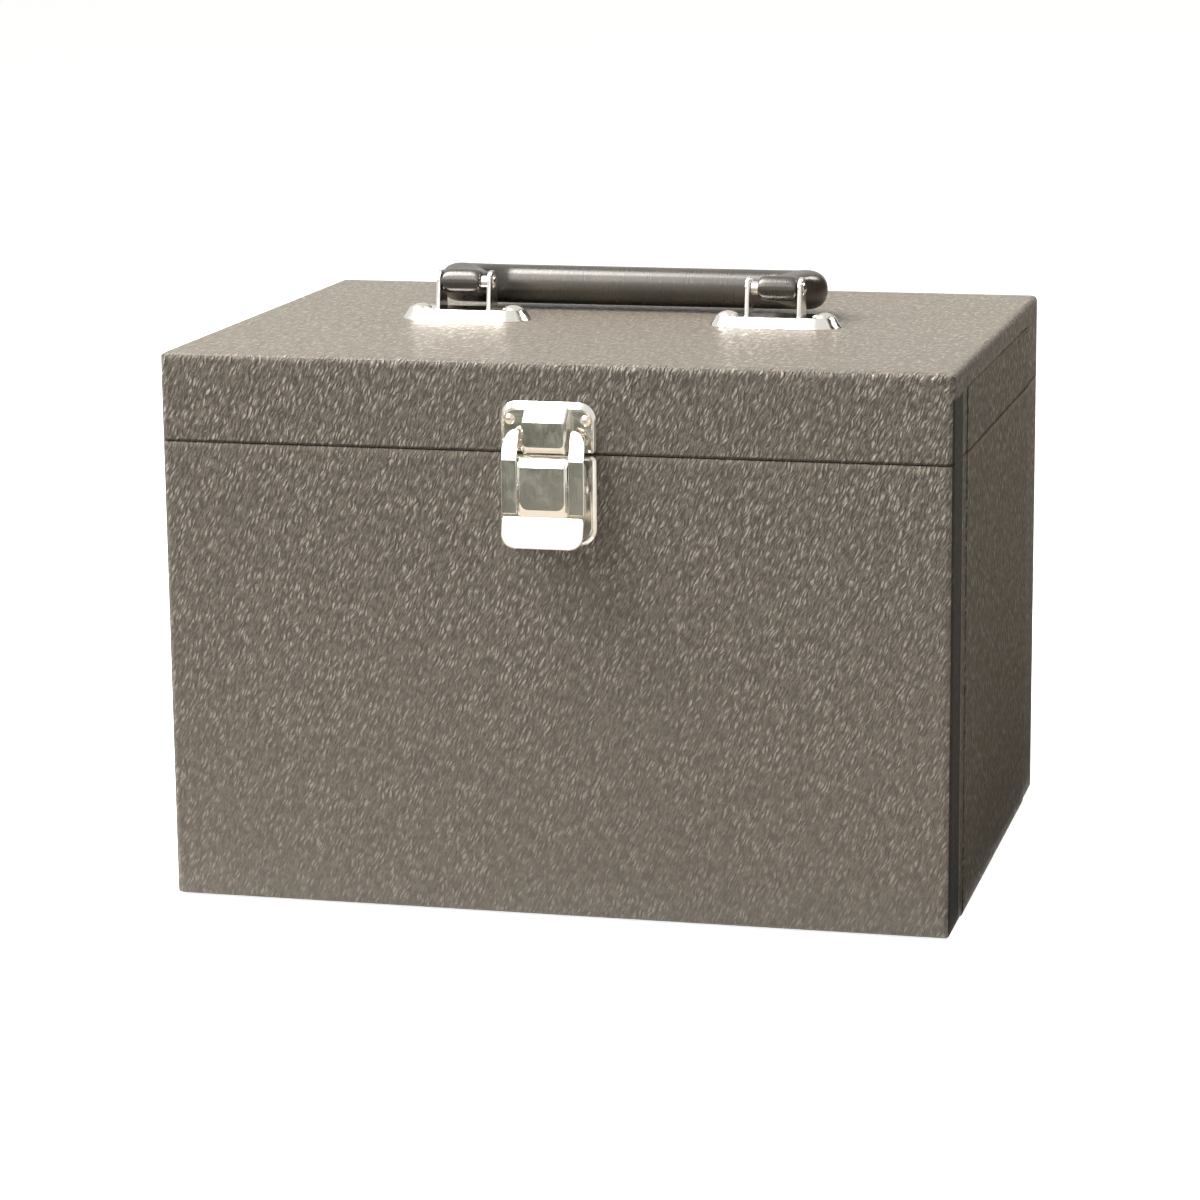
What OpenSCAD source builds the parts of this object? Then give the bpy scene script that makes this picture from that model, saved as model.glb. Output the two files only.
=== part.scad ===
/* [Case] */
// Width over the front face
case_w = 305; // [295:1:340]
// Depth from the front face to the back face
case_d = 228; // [224:1:260]
// Height from the floor to the top of the lid
case_h = 214; // [205:1:240]
// Height of the lid, from the seam to the top
lid_h = 34; // [32:1:44]
// Open gap at the seam between body and lid
seam_gap = 0.4; // [0.2:0.1:0.8]
// Radius of the outer edges, over the covering
edge_r = 3; // [2:0.5:5]
// Thickness of the wooden walls
wall_t = 8; // [7:0.5:9]
// Thickness of the wooden bottom and top panels
panel_t = 6; // [5:0.5:8]
// Depth of the rabbets that join the panels
rabbet = 4; // [3:0.5:5]

/* [Covering] */
// Thickness of the leathercloth
cover_t = 0.8; // [0.5:0.1:1.2]
// Length that the front and back sheets return along the sides
side_return = 38; // [34:1:50]
// Distance of a side sheet's upright edge from the front face
side_edge = 30; // [20:1:32]
// Height by which a side sheet stands proud of the return below it
side_proud = 0.5; // [0.3:0.1:0.8]
// Length that the sheets are turned under the base
under_return = 15; // [10:1:25]
// Height by which the base sheet stands proud of the returns
base_proud = 0.5; // [0.3:0.1:1]
// Distance of the base sheet's edge from the case's edge
base_inset = 6; // [5:1:9]
// Depth that the sheets are turned in over the rim
turn_in = 12; // [8:1:16]
// Length that the lid's top sheet returns down the sides
top_return = 9; // [6:0.5:14]
// Gap between the top sheet's return and a side sheet
lap_gap = 0.3; // [0.2:0.1:0.5]

/* [Lining] */
// Thickness of the velvet-covered lining boards
liner_t = 3.4; // [3:0.1:5]
// Height by which the body's lining stands above the seam
lip_h = 5; // [3:0.5:8]
// Clearance between that lip and the lid's turned-in covering
lip_clear = 0.6; // [0.4:0.1:0.9]
// Gap between the lip and the lid's lining
lining_gap = 1.2; // [0.8:0.1:3]
// Thickness of the padded board inside the lid, at its edge
pad_edge = 6; // [4:0.5:9]
// Extra thickness of that pad at its crown
pad_crown = 8; // [3:0.5:9]
// Clearance round the pad
pad_clear = 0.4; // [0.3:0.1:1]
// Length by which the pad's sides draw in between its corners
pad_draw = 1.5; // [0:0.5:3]

/* [Cradle] */
// Height of the cradle above the bottom panel
cradle_h = 90; // [86:1:110]
// Radius of the bay for the chalice's foot
foot_r = 77; // [60:1:78]
// Length of that bay
foot_len = 24; // [15:1:30]
// Radius of the bay for the stem
stem_r = 22; // [15:1:26]
// Length of the stem between foot and cup
stem_len = 68; // [60:1:75]
// Radius of the bay for the knop
knop_r = 33; // [28:1:40]
// Radius of the bay for the cup
cup_r = 58; // [45:1:62]
// Length of the cup's bay
cup_len = 132; // [110:1:136]
// Wall of the cradle between the foot's bay and the front lining
bay_wall = 4.8; // [3:0.2:6]
// Wall of the foot block between the foot's bay and the left lining
foot_end_wall = 20; // [14:1:26]
// Radius of the slot for the paten
paten_r = 78; // [60:1:80]
// Width of the paten slot
paten_w = 14; // [10:1:16]
// Wall between the paten slot and the back lining
paten_wall = 12; // [8:1:14]

/* [Latch] */
// Width of the latch's base plate and keeper plate
plate_w = 37; // [36:0.5:42]
// Thickness of those plates
plate_t = 1; // [0.8:0.1:1.2]
// Height of the pressed rim round the plates
rim_h = 0.6; // [0.3:0.1:0.8]
// Width of that rim
rim_w = 1; // [0.6:0.1:1.4]
// Distance of each plate from the middle of the seam
plate_gap = 0.4; // [0.3:0.1:0.6]
// Height of the base plate
base_plate_h = 34.3; // [33:0.5:38]
// Height of the keeper plate
keeper_h = 19.2; // [18:0.5:22]
// Width of the keeper's boss
boss_w = 17.5; // [16:0.5:18]
// Distance by which the boss stands out from the covering
boss_out = 8; // [7.4:0.1:8.2]
// Thickness of the pressed sheet
sheet_t = 1; // [0.8:0.1:1]
// Distance of the lever's pivot from the covering
pivot_out = 6.2; // [6.2:0.1:6.4]
// Distance of that pivot below the seam
pivot_down = 5.4; // [5.2:0.1:5.6]
// Distance of the link's pin from the lever's pivot, outwards to the case
link_in = 1.6; // [1.4:0.1:1.7]
// Distance of the link's pin below the lever's pivot
link_down = 6.8; // [6.6:0.1:7]
// Radius of the latch's pins
latch_pin_r = 1.1; // [0.9:0.1:1.2]
// Radial running clearance of every pin
pin_clear = 0.05; // [0.03:0.01:0.08]
// Width of the lever's raised channel
lever_w = 19.2; // [18.6:0.2:19.4]
// Width over the link's arms and the lever's lip
link_w = 31.5; // [30:0.5:33]
// Side clearance between the moving parts of the latch
side_clear = 0.3; // [0.2:0.05:0.4]
// Distance of the lever's face outside its pivot
lever_out = 4.2; // [4.1:0.05:4.3]
// Distance from the link's pin down to the top of the lever's lip
lip_down = 10.5; // [10:0.1:11]
// Height of the lip
lip_len = 11.4; // [10:0.1:13]
// Distance by which the lip flares out
lip_out = 2.8; // [1.5:0.1:4]
// Radius of the lip's lower corners
lip_corner_r = 5.3; // [3:0.1:5.5]
// Height of the link's bend above the lever's pivot
bend_up = 4.1; // [3.9:0.1:4.3]
// Height of the ends of the link's arms above that pivot
arm_up = 14.9; // [13:0.1:16]
// Distance by which the arms lean in towards the case
arm_lean = 4.2; // [3.8:0.1:4.3]
// Radius of the corners of the arms
arm_corner_r = 5; // [3:0.1:5.5]
// Height of the slope on top of the keeper's boss
boss_slope = 7; // [5:0.1:9]
// Width of the lugs that the arms stand over
lug_w = 4.4; // [3:0.1:4.8]
// Height of the lower base plate rivet above the plate's bottom edge
low_rivet_up = 6; // [5:0.1:8]
// Height of the upper base plate rivet above that edge
high_rivet_up = 19.5; // [16:0.1:21]
// Distance of each keeper rivet from the middle of the latch
keeper_rivet_x = 14.6; // [13.5:0.1:15]
// Distance of the keeper rivets below the keeper's top edge
keeper_rivet_down = 6.8; // [5:0.1:8]

/* [Handle] */
// Distance from the case's middle to the middle of each bracket
bracket_x = 63.3; // [60:0.1:80]
// Length of a bracket's hollow plate along the case
bracket_len = 53; // [52:1:58]
// Depth of that plate, whose ends are half round
bracket_d = 19.5; // [18:0.5:22]
// Height of the plate's flat top above the lid
cap_h = 4.2; // [3:0.1:4.5]
// Width of the slope round the plate
cap_bevel = 2.8; // [1:0.1:3]
// Distance between the middles of a bracket's two ears
ear_pitch = 21; // [20:0.5:24]
// Thickness of an ear
ear_t = 1.6; // [1.2:0.1:2]
// Radius of an ear's rounded top
ear_r = 4.6; // [3.6:0.1:5]
// Width of an ear at its foot
ear_foot = 12; // [10:0.5:14]
// Height of the handle's pin above the lid
pin_up = 14.9; // [14.5:0.1:18]
// Radius of the handle's pins
handle_pin_r = 1.7; // [1.4:0.1:2]
// Radius of the bushes in the handle
bush_r = 2.6; // [2.3:0.1:3]
// Width of the handle's tabs between the ears
tab_w = 16.3; // [15:0.1:16.6]
// Half of the tabs' thickness
tab_r = 5.1; // [5:0.1:6]
// Gap between a tab or bush and an ear
ear_gap = 0.2; // [0.1:0.05:0.4]
// Distance of the bar from the pins
bar_reach = 40; // [36:1:48]
// Half of the bar's width
bar_a = 8.6; // [8:0.1:10]
// Half of the bar's thickness
bar_b = 6.6; // [5.5:0.1:7]
// Distance from the middle of the handle to the middle of each leg
leg_x = 71.2; // [70:0.1:90]
// Radius of the handle's corners along their middle line
corner_r = 18; // [14:0.5:22]
// Angle by which the folded handle hangs below level
handle_droop = 7; // [5:0.5:8]

/* [Hinges] */
// Distance from the end of the case to the middle of each hinge
hinge_end = 57.5; // [45:0.5:80]
// Width of a hinge
hinge_w = 38; // [30:1:50]
// Height of each leaf
leaf_h = 25; // [22:1:27]
// Thickness of the leaves
leaf_t = 1; // [0.8:0.1:1.2]
// Number of knuckles on a hinge
knuckles = 5; // [5:2:7]
// Radius of the knuckles
knuckle_r = 2.5; // [2.2:0.1:3]
// Radius of the hinge pins
hinge_pin_r = 1.2; // [1:0.1:1.3]
// Gap between neighbouring knuckles
knuckle_gap = 0.3; // [0.2:0.05:0.5]
// Angle at which the hinges stop the lid
lid_open = 100; // [95:1:110]
// Thickness of the stop tongues
stop_t = 1.4; // [1:0.1:1.8]
// Distance of a hinge's rivets from the leaf's side edges
hinge_rivet_side = 7; // [5:0.5:9]
// Distance of those rivets from the leaf's outer edge
hinge_rivet_edge = 8; // [5:0.5:10]
// Radius of a leaf's outer corners
leaf_corner_r = 4; // [1:0.5:6]

/* [Fasteners] */
// Radius of the small rivets' shanks
rivet_r = 1.2; // [1:0.1:1.4]
// Radius of the latch and hinge rivets' heads
rivet_head_r = 2.1; // [1.8:0.1:2.4]
// Height of those heads
rivet_head_h = 0.9; // [0.6:0.1:1.1]
// Radius of the bracket rivets' heads
bracket_head_r = 4.4; // [3.8:0.1:5]
// Height of those heads
bracket_head_h = 1.6; // [1.2:0.1:2]
// Wood left behind the end of a rivet
rivet_end = 0.6; // [0.4:0.1:1.5]

/* [Hidden] */
$fn = 48;

// Margin by which a cutting shape passes what it cuts
cut = 1;
// Outer faces of the case
half_w = case_w / 2;
half_d = case_d / 2;
// Outer and inner faces of the wooden walls
wood_x = half_w - cover_t;
wood_y = half_d - cover_t;
inner_x = wood_x - wall_t;
inner_y = wood_y - wall_t;
// Faces of the lining
room_x = inner_x - liner_t;
room_y = inner_y - liner_t;
// Heights of the body
wood_z0 = base_proud + cover_t;
floor_z = wood_z0 + panel_t;
seam_z = case_h - lid_h;
body_top = seam_z - seam_gap / 2;
wood_z1 = body_top - cover_t;
// Heights of the lid
lid_bottom = seam_z + seam_gap / 2;
lid_wood_z0 = lid_bottom + cover_t;
lid_wood_z1 = case_h - cover_t;
ceiling_z = lid_wood_z1 - panel_t;
// Colours
leathercloth = [0.34, 0.32, 0.29];
wood = [0.72, 0.56, 0.38];
velvet = [0.55, 0.05, 0.08];
nickel = [0.82, 0.80, 0.76];
grip_brown = [0.10, 0.07, 0.05];

// Shared shapes

// A box between two corners given as ranges along X, Y and Z
module span(x, y, z) {
    translate([x[0], y[0], z[0]])
        cube([x[1] - x[0], y[1] - y[0], z[1] - z[0]]);
}

// Extrudes an outline drawn in Y and Z along X
module along_x(x0, x1) {
    translate([x0, 0, 0])
        rotate([90, 0, 90])
            linear_extrude(x1 - x0)
                children();
}

// Extrudes an outline drawn in X and Z along Y
module along_y(y0, y1) {
    translate([0, y1, 0])
        rotate([90, 0, 0])
            linear_extrude(y1 - y0)
                children();
}

module rounded_rect(w, h, r) {
    square([w - 2 * r, h], center = true);
    square([w, h - 2 * r], center = true);
    for (sx = [-1, 1], sy = [-1, 1])
        translate([sx * (w / 2 - r), sy * (h / 2 - r)])
            circle(r);
}

// A block with all its edges rounded
module edge_block(hx, hy, z0, z1, r) {
    h = z1 - z0;
    translate([0, 0, (z0 + z1) / 2])
        intersection() {
            linear_extrude(h, center = true)
                rounded_rect(2 * hx, 2 * hy, r);
            rotate([90, 0, 0])
                linear_extrude(2 * hy + cut, center = true)
                    rounded_rect(2 * hx, h, r);
            rotate([90, 0, 90])
                linear_extrude(2 * hx + cut, center = true)
                    rounded_rect(2 * hy, h, r);
        }
}

// Domed head of radius r and height h on z = 0, with a straight edge below the dome
module dome(r, h, edge = 0) {
    rise = h - edge;
    dome_r = (r * r + rise * rise) / (2 * rise);
    intersection() {
        translate([0, 0, h - dome_r])
            sphere(dome_r);
        cylinder(h = h, r = r);
    }
}

// Domed rivet with its head above z = 0 and its shank below
module rivet(head_r, head_h, shank) {
    dome(head_r, head_h);
    translate([0, 0, -shank])
        cylinder(h = shank + head_h / 2, r = rivet_r);
}

// Mesh through a list of rings that have equally many points
module loft(rings) {
    n = len(rings[0]);
    m = len(rings);
    points = [for (ring = rings) each ring];
    sides = [for (j = [0 : m - 2], i = [0 : n - 1])
        let (a = j * n + i, b = j * n + (i + 1) % n)
            each [[a, b, b + n], [a, b + n, a + n]]];
    first = [for (i = [1 : n - 2]) [0, i + 1, i]];
    last = [for (i = [1 : n - 2]) [(m - 1) * n, (m - 1) * n + i, (m - 1) * n + i + 1]];
    polyhedron(points = points, faces = concat(sides, first, last));
}

// Point on a superellipse with half sizes a and b; a higher power is squarer
function super_point(a, b, power, angle) =
    let (c = cos(angle), s = sin(angle))
        [a * sign(c) * pow(abs(c), 2 / power), b * sign(s) * pow(abs(s), 2 / power)];

// The wooden box, the covered outside and the outside over a side sheet
module wood_block() {
    edge_block(wood_x, wood_y, wood_z0, lid_wood_z1, edge_r - cover_t);
}

module outer_block() {
    edge_block(half_w, half_d, base_proud, case_h, edge_r);
}

module side_block() {
    edge_block(half_w + side_proud, half_d, base_proud, case_h, edge_r);
}

// Panels of the body

module side_wall_space(side, z) {
    x = side < 0 ? [-wood_x - cut, -inner_x] : [inner_x, wood_x + cut];
    span(x, [-inner_y - rabbet, inner_y + rabbet], z);
}

module bottom_space() {
    span([-inner_x - rabbet, inner_x + rabbet], [-inner_y - rabbet, inner_y + rabbet],
        [wood_z0 - cut, floor_z]);
}

module bottom_panel() {
    color(wood)
        span([-inner_x - rabbet, inner_x + rabbet], [-inner_y - rabbet, inner_y + rabbet],
            [wood_z0, floor_z]);
}

module end_panel(side) {
    y = side < 0 ? [-wood_y, -inner_y] : [inner_y, wood_y];
    difference() {
        intersection() {
            wood_block();
            span([-half_w, half_w], y, [0, wood_z1]);
        }
        side_wall_space(-1, [0, case_h]);
        side_wall_space(1, [0, case_h]);
        bottom_space();
    }
}

module side_panel(side) {
    difference() {
        intersection() {
            wood_block();
            side_wall_space(side, [0, wood_z1]);
        }
        bottom_space();
    }
}

module front_panel() {
    color(wood)
        difference() {
            end_panel(-1);
            latch_rivet_holes();
        }
}

module back_panel() {
    color(wood)
        difference() {
            end_panel(1);
            hinge_rivet_holes(-1);
        }
}

module left_panel() {
    color(wood) side_panel(-1);
}

module right_panel() {
    color(wood) side_panel(1);
}

// Covering of the body

module bottom_cover() {
    color(leathercloth) {
        span([base_inset - half_w, half_w - base_inset], [base_inset - half_d, half_d - base_inset],
            [0, base_proud]);
        span([under_return - half_w, half_w - under_return], [under_return - half_d, half_d - under_return],
            [base_proud, wood_z0]);
    }
}

// Front sheet of the body: it returns along both sides, under the base and over the rim
module end_sheet() {
    difference() {
        intersection() {
            outer_block();
            span([-half_w, half_w], [-half_d, side_return - half_d], [0, body_top]);
        }
        wood_block();
        span([under_return - half_w, half_w - under_return], [under_return - half_d, half_d], [0, wood_z0]);
    }
    intersection() {
        outer_block();
        span([-half_w, half_w], [-half_d, -inner_y], [wood_z1, body_top]);
    }
    span([-inner_x, inner_x], [-inner_y - cover_t, cover_t - inner_y], [wood_z1, body_top]);
    span([-inner_x, inner_x], [-inner_y, cover_t - inner_y], [body_top - turn_in, body_top]);
}

// Right sheet of the body: it lies over the returns of the front and back sheets
module side_sheet() {
    difference() {
        intersection() {
            side_block();
            span([half_w - under_return, half_w + cut], [side_edge - half_d, half_d - side_edge],
                [0, body_top]);
        }
        wood_block();
        lap_space([0, case_h]);
    }
    span([inner_x - cover_t, wood_x + cover_t], [side_return - half_d, half_d - side_return],
        [wood_z1, body_top]);
    span([inner_x - cover_t, wood_x], [cover_t - inner_y, inner_y - cover_t], [wood_z1, body_top]);
    span([inner_x - cover_t, inner_x], [cover_t - inner_y, inner_y - cover_t],
        [body_top - turn_in, body_top]);
}

// Space of the front and back returns under a side sheet
module lap_space(z) {
    for (s = [-1, 1])
        intersection() {
            outer_block();
            translate([0, s * (half_d - side_return / 2), 0])
                span([0, half_w + cut], [-side_return / 2, side_return / 2], z);
        }
}

module front_cover() {
    color(leathercloth)
        difference() {
            end_sheet();
            latch_rivet_holes();
        }
}

module back_cover() {
    color(leathercloth)
        difference() {
            mirror([0, 1, 0]) end_sheet();
            hinge_rivet_holes(-1);
        }
}

module left_cover() {
    color(leathercloth) mirror([1, 0, 0]) side_sheet();
}

module right_cover() {
    color(leathercloth) side_sheet();
}

// Lining of the body

module lining_ring() {
    difference() {
        union() {
            span([-inner_x, inner_x], [-inner_y, inner_y], [floor_z, body_top - turn_in]);
            span([cover_t - inner_x, inner_x - cover_t], [cover_t - inner_y, inner_y - cover_t],
                [floor_z, body_top]);
            span([cover_t + lip_clear - inner_x, inner_x - cover_t - lip_clear],
                [cover_t + lip_clear - inner_y, inner_y - cover_t - lip_clear],
                [floor_z, body_top + lip_h]);
        }
        span([-room_x, room_x], [-room_y, room_y], [0, case_h]);
    }
}

module lid_lining_ring() {
    difference() {
        union() {
            span([cover_t - inner_x, inner_x - cover_t], [cover_t - inner_y, inner_y - cover_t],
                [body_top + lip_h + lining_gap, ceiling_z]);
            span([-inner_x, inner_x], [-inner_y, inner_y], [lid_bottom + turn_in, ceiling_z]);
        }
        span([-room_x, room_x], [-room_y, room_y], [0, case_h]);
    }
}

module end_space(side) {
    y = side < 0 ? [-inner_y, -room_y] : [room_y, inner_y];
    span([-inner_x, inner_x], y, [0, case_h]);
}

module side_space(side) {
    x = side < 0 ? [-inner_x, -room_x] : [room_x, inner_x];
    span(x, [-room_y, room_y], [0, case_h]);
}

module front_liner() {
    color(velvet) intersection() {
        lining_ring();
        end_space(-1);
    }
}

module back_liner() {
    color(velvet) intersection() {
        lining_ring();
        end_space(1);
    }
}

module left_liner() {
    color(velvet) intersection() {
        lining_ring();
        side_space(-1);
    }
}

module right_liner() {
    color(velvet) intersection() {
        lining_ring();
        side_space(1);
    }
}

// Cradle: the chalice lies along X with its middle line at the top of the blocks

cradle_z = floor_z + cradle_h;
chalice_y = bay_wall + foot_r - room_y;
chalice_back = chalice_y + foot_r + bay_wall;
foot_x = foot_end_wall - room_x;
stem_x = foot_x + foot_len;
cup_x = stem_x + stem_len;
// Where the blocks meet, in the stem's bay
foot_stem_x = stem_x + (stem_len / 2 - knop_r) / 2;
stem_cup_x = cup_x - (stem_len / 2 - knop_r) / 2;
paten_y = room_y - paten_wall - paten_w / 2;

// Half profile of the chalice's bay, as radius against length from the foot
module chalice_profile() {
    square([foot_r, foot_len]);
    square([stem_r, foot_len + stem_len + cup_r]);
    intersection() {
        translate([0, foot_len + stem_len / 2])
            circle(knop_r);
        translate([0, foot_len])
            square([knop_r, stem_len]);
    }
    intersection() {
        translate([0, foot_len + stem_len + cup_r])
            circle(cup_r);
        square([cup_r, foot_len + stem_len + cup_r]);
    }
    translate([0, foot_len + stem_len + cup_r])
        square([cup_r, cup_len - cup_r]);
}

module chalice_bay() {
    translate([foot_x, chalice_y, cradle_z])
        rotate([0, 90, 0])
            rotate_extrude()
                chalice_profile();
}

module chalice_block(x0, x1) {
    difference() {
        span([x0, x1], [-room_y, chalice_back], [floor_z, cradle_z]);
        chalice_bay();
    }
}

module foot_block() {
    color(velvet) chalice_block(-room_x, foot_stem_x);
}

module stem_block() {
    color(velvet) chalice_block(foot_stem_x, stem_cup_x);
}

module cup_block() {
    color(velvet) chalice_block(stem_cup_x, room_x);
}

module paten_block() {
    color(velvet)
        difference() {
            span([-room_x, room_x], [chalice_back, room_y], [floor_z, cradle_z]);
            translate([0, paten_y, cradle_z])
                rotate([90, 0, 0])
                    cylinder(h = paten_w, r = paten_r, center = true);
        }
}

// Latch: everything is placed from its outer face and from the lever's pivot

face_y = -half_d;
plate_y = face_y - plate_t;
// Where a form that stands on a plate begins, inside the plate
root_y = face_y - plate_t / 2;
plate_top = seam_z - plate_gap;
plate_bottom = plate_top - base_plate_h;
keeper_z0 = seam_z + plate_gap;
keeper_z1 = keeper_z0 + keeper_h;
pivot_y = face_y - pivot_out;
pivot_z = seam_z - pivot_down;
link_y = pivot_y + link_in;
link_z = pivot_z - link_down;
// Outer faces of the lever's panel and of the link's strips
panel_y = pivot_y - lever_out;
strip_y = panel_y + 0.8 * sheet_t;
bore_r = latch_pin_r + pin_clear;
wall_x = lever_w / 2;
arm_x = wall_x + side_clear;
ear_x = wall_x - sheet_t - side_clear * 2 / 3;
lip_top = link_z - lip_down;
lip_bottom = lip_top - lip_len;
strip_bottom = lip_top + 1.1 * sheet_t;
keeper_rivet_z = keeper_z1 - keeper_rivet_down;
latch_rivet_z = [plate_bottom + low_rivet_up, plate_bottom + high_rivet_up];
latch_shank = plate_t + cover_t + wall_t - rivet_end;

// Plate outline in X and Z with its own radii at the bottom and the top
module plate_outline(w, z0, z1, r0, r1) {
    for (s = [-1, 1]) {
        translate([s * (w / 2 - r0), z0 + r0]) circle(r0);
        translate([s * (w / 2 - r1), z1 - r1]) circle(r1);
    }
    translate([-w / 2, z0 + r0]) square([w, z1 - z0 - r0 - r1]);
    translate([r0 - w / 2, z0]) square([w - 2 * r0, r0 + cut / 10]);
    translate([r1 - w / 2, z1 - r1 - cut / 10]) square([w - 2 * r1, r1 + cut / 10]);
}

// Pressed plate with a raised rim
module rimmed_plate(z0, z1, r0, r1) {
    along_y(plate_y, face_y)
        plate_outline(plate_w, z0, z1, r0, r1);
    along_y(plate_y - rim_h, root_y)
        difference() {
            plate_outline(plate_w, z0, z1, r0, r1);
            plate_outline(plate_w - 2 * rim_w, z0 + rim_w, z1 - rim_w, r0 - rim_w, r1 - rim_w);
        }
}

module latch_rivet_holes() {
    for (z = latch_rivet_z)
        translate([0, face_y - plate_t - cut, z])
            rotate([-90, 0, 0])
                cylinder(h = latch_shank + cut, r = rivet_r);
}

module keeper_rivet_holes() {
    for (s = [-1, 1])
        translate([s * keeper_rivet_x, face_y - plate_t - cut, keeper_rivet_z])
            rotate([-90, 0, 0])
                cylinder(h = latch_shank + cut, r = rivet_r);
}

module latch_rivets() {
    color(nickel)
        for (z = latch_rivet_z)
            translate([0, plate_y, z])
                rotate([90, 0, 0])
                    rivet(rivet_head_r, rivet_head_h, latch_shank);
}

module keeper_rivets() {
    color(nickel)
        for (s = [-1, 1])
            translate([s * keeper_rivet_x, plate_y, keeper_rivet_z])
                rotate([90, 0, 0])
                    rivet(rivet_head_r, rivet_head_h, latch_shank);
}

module pivot_hole(y, z) {
    translate([0, y, z])
        rotate([0, 90, 0])
            cylinder(h = 2 * plate_w, r = bore_r, center = true);
}

// Side profile of the ears that carry the lever's pin
module ear_profile() {
    tip_r = latch_pin_r + 1.5 * sheet_t;
    web_top = pivot_z - 0.6 * sheet_t;
    translate([pivot_y, pivot_z])
        circle(tip_r);
    polygon([[root_y, pivot_z - 4.8 * sheet_t], [root_y, web_top], [pivot_y + 3.2 * sheet_t, web_top],
        [pivot_y + 2.5 * sheet_t, pivot_z + 0.7 * sheet_t], [pivot_y, pivot_z - tip_r]]);
}

// Base plate with the two ears that carry the lever's pin
module latch_base() {
    color(nickel)
        difference() {
            union() {
                rimmed_plate(plate_bottom, plate_top, 7 * rim_w, 2 * rim_w);
                for (x = [-ear_x, ear_x - sheet_t])
                    along_x(x, x + sheet_t)
                        ear_profile();
            }
            pivot_hole(pivot_y, pivot_z);
            latch_rivet_holes();
        }
}

module lever_pin() {
    color(nickel)
        translate([0, pivot_y, pivot_z])
            rotate([0, 90, 0])
                cylinder(h = lever_w, r = latch_pin_r, center = true);
}

// The lever's bevels: how far the top one leans in, and the heights where both begin and end
bevel_in = 2.5 * sheet_t;
bevel_z = [lip_top, lip_top + 3 * sheet_t, pivot_z + 1.5 * sheet_t, pivot_z + 4.6 * sheet_t];

// Side profile of the lever's sheet: top bevel, raised flat, bottom bevel
module lever_panel_profile() {
    back_y = panel_y + sheet_t;
    root_z = bevel_z[0] - 0.2 * sheet_t;
    polygon([[panel_y + bevel_in, bevel_z[3]], [panel_y, bevel_z[2]], [panel_y, bevel_z[1]],
        [back_y, bevel_z[0]], [back_y, root_z], [back_y + sheet_t, root_z],
        [back_y, bevel_z[1] + 0.1 * sheet_t], [back_y, bevel_z[2] - 0.4 * sheet_t],
        [panel_y + bevel_in + 0.7 * sheet_t, bevel_z[3] - 0.7 * sheet_t]]);
}

module lever_lip_profile() {
    back_y = panel_y + sheet_t;
    polygon([[back_y, lip_top], [back_y - lip_out, lip_bottom],
        [back_y + sheet_t - lip_out, lip_bottom - 0.3 * sheet_t], [back_y + sheet_t, lip_top]]);
}

// Side wall of the lever's channel, around both pins
module lever_wall_profile() {
    front_y = panel_y + 0.2 * sheet_t;
    polygon([[panel_y + bevel_in, bevel_z[3] - 0.3 * sheet_t], [front_y, bevel_z[2]],
        [front_y, bevel_z[1]], [panel_y + sheet_t, lip_top + 0.6 * sheet_t],
        [link_y + 1.4 * sheet_t, link_z - 1.6 * sheet_t], [link_y + 2.15 * sheet_t, link_z + sheet_t / 2],
        [pivot_y + 3 * sheet_t, pivot_z + 0.6 * sheet_t],
        [pivot_y + 1.4 * sheet_t, pivot_z + 3 * sheet_t]]);
}

module latch_lever() {
    color(nickel)
        difference() {
            union() {
                along_x(-wall_x, wall_x)
                    lever_panel_profile();
                for (x = [-wall_x, wall_x - sheet_t])
                    along_x(x, x + sheet_t)
                        lever_wall_profile();
                intersection() {
                    along_x(-link_w / 2, link_w / 2)
                        lever_lip_profile();
                    along_y(panel_y - lip_len, panel_y + lip_len)
                        plate_outline(link_w, lip_bottom - 0.3 * sheet_t, lip_top + lip_corner_r,
                            lip_corner_r, sheet_t);
                }
            }
            pivot_hole(pivot_y, pivot_z);
            pivot_hole(link_y, link_z);
        }
}

// Draw link: two strips with bent arms, outer flanges for the pin and a web behind the lever
module latch_link() {
    bend_z = pivot_z + bend_up;
    arm_top = pivot_z + arm_up;
    tip_y = strip_y + arm_lean;
    lean = atan(arm_lean / (arm_up - bend_up));
    front_y = strip_y + 0.2 * sheet_t;
    back_y = link_y + 2 * sheet_t;
    color(nickel)
        difference() {
            union() {
                intersection() {
                    along_x(-link_w / 2, link_w / 2)
                        polygon([[strip_y, strip_bottom], [strip_y, bend_z], [tip_y, arm_top],
                            [tip_y + sheet_t * cos(lean), arm_top - sheet_t * sin(lean)],
                            [strip_y + sheet_t, bend_z - sheet_t * tan(lean / 2)],
                            [strip_y + sheet_t, strip_bottom]]);
                    along_y(strip_y - cut, tip_y + 2 * cut)
                        difference() {
                            plate_outline(link_w, strip_bottom, arm_top, sheet_t, arm_corner_r);
                            square([2 * arm_x, 4 * case_h], center = true);
                        }
                }
                for (x = [-link_w / 2, link_w / 2 - sheet_t])
                    along_x(x, x + sheet_t)
                        polygon([[front_y, strip_bottom], [back_y, strip_bottom],
                            [back_y, link_z + 2.6 * sheet_t],
                            [link_y - 0.6 * sheet_t, bend_z - 2 * sheet_t],
                            [strip_y + 0.6 * sheet_t, bend_z - 0.6 * sheet_t],
                            [front_y, bend_z - 1.2 * sheet_t]]);
                span([-link_w / 2, link_w / 2], [back_y - 0.8 * sheet_t, back_y],
                    [strip_bottom, link_z - lip_down / 2]);
            }
            pivot_hole(link_y, link_z);
        }
}

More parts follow.
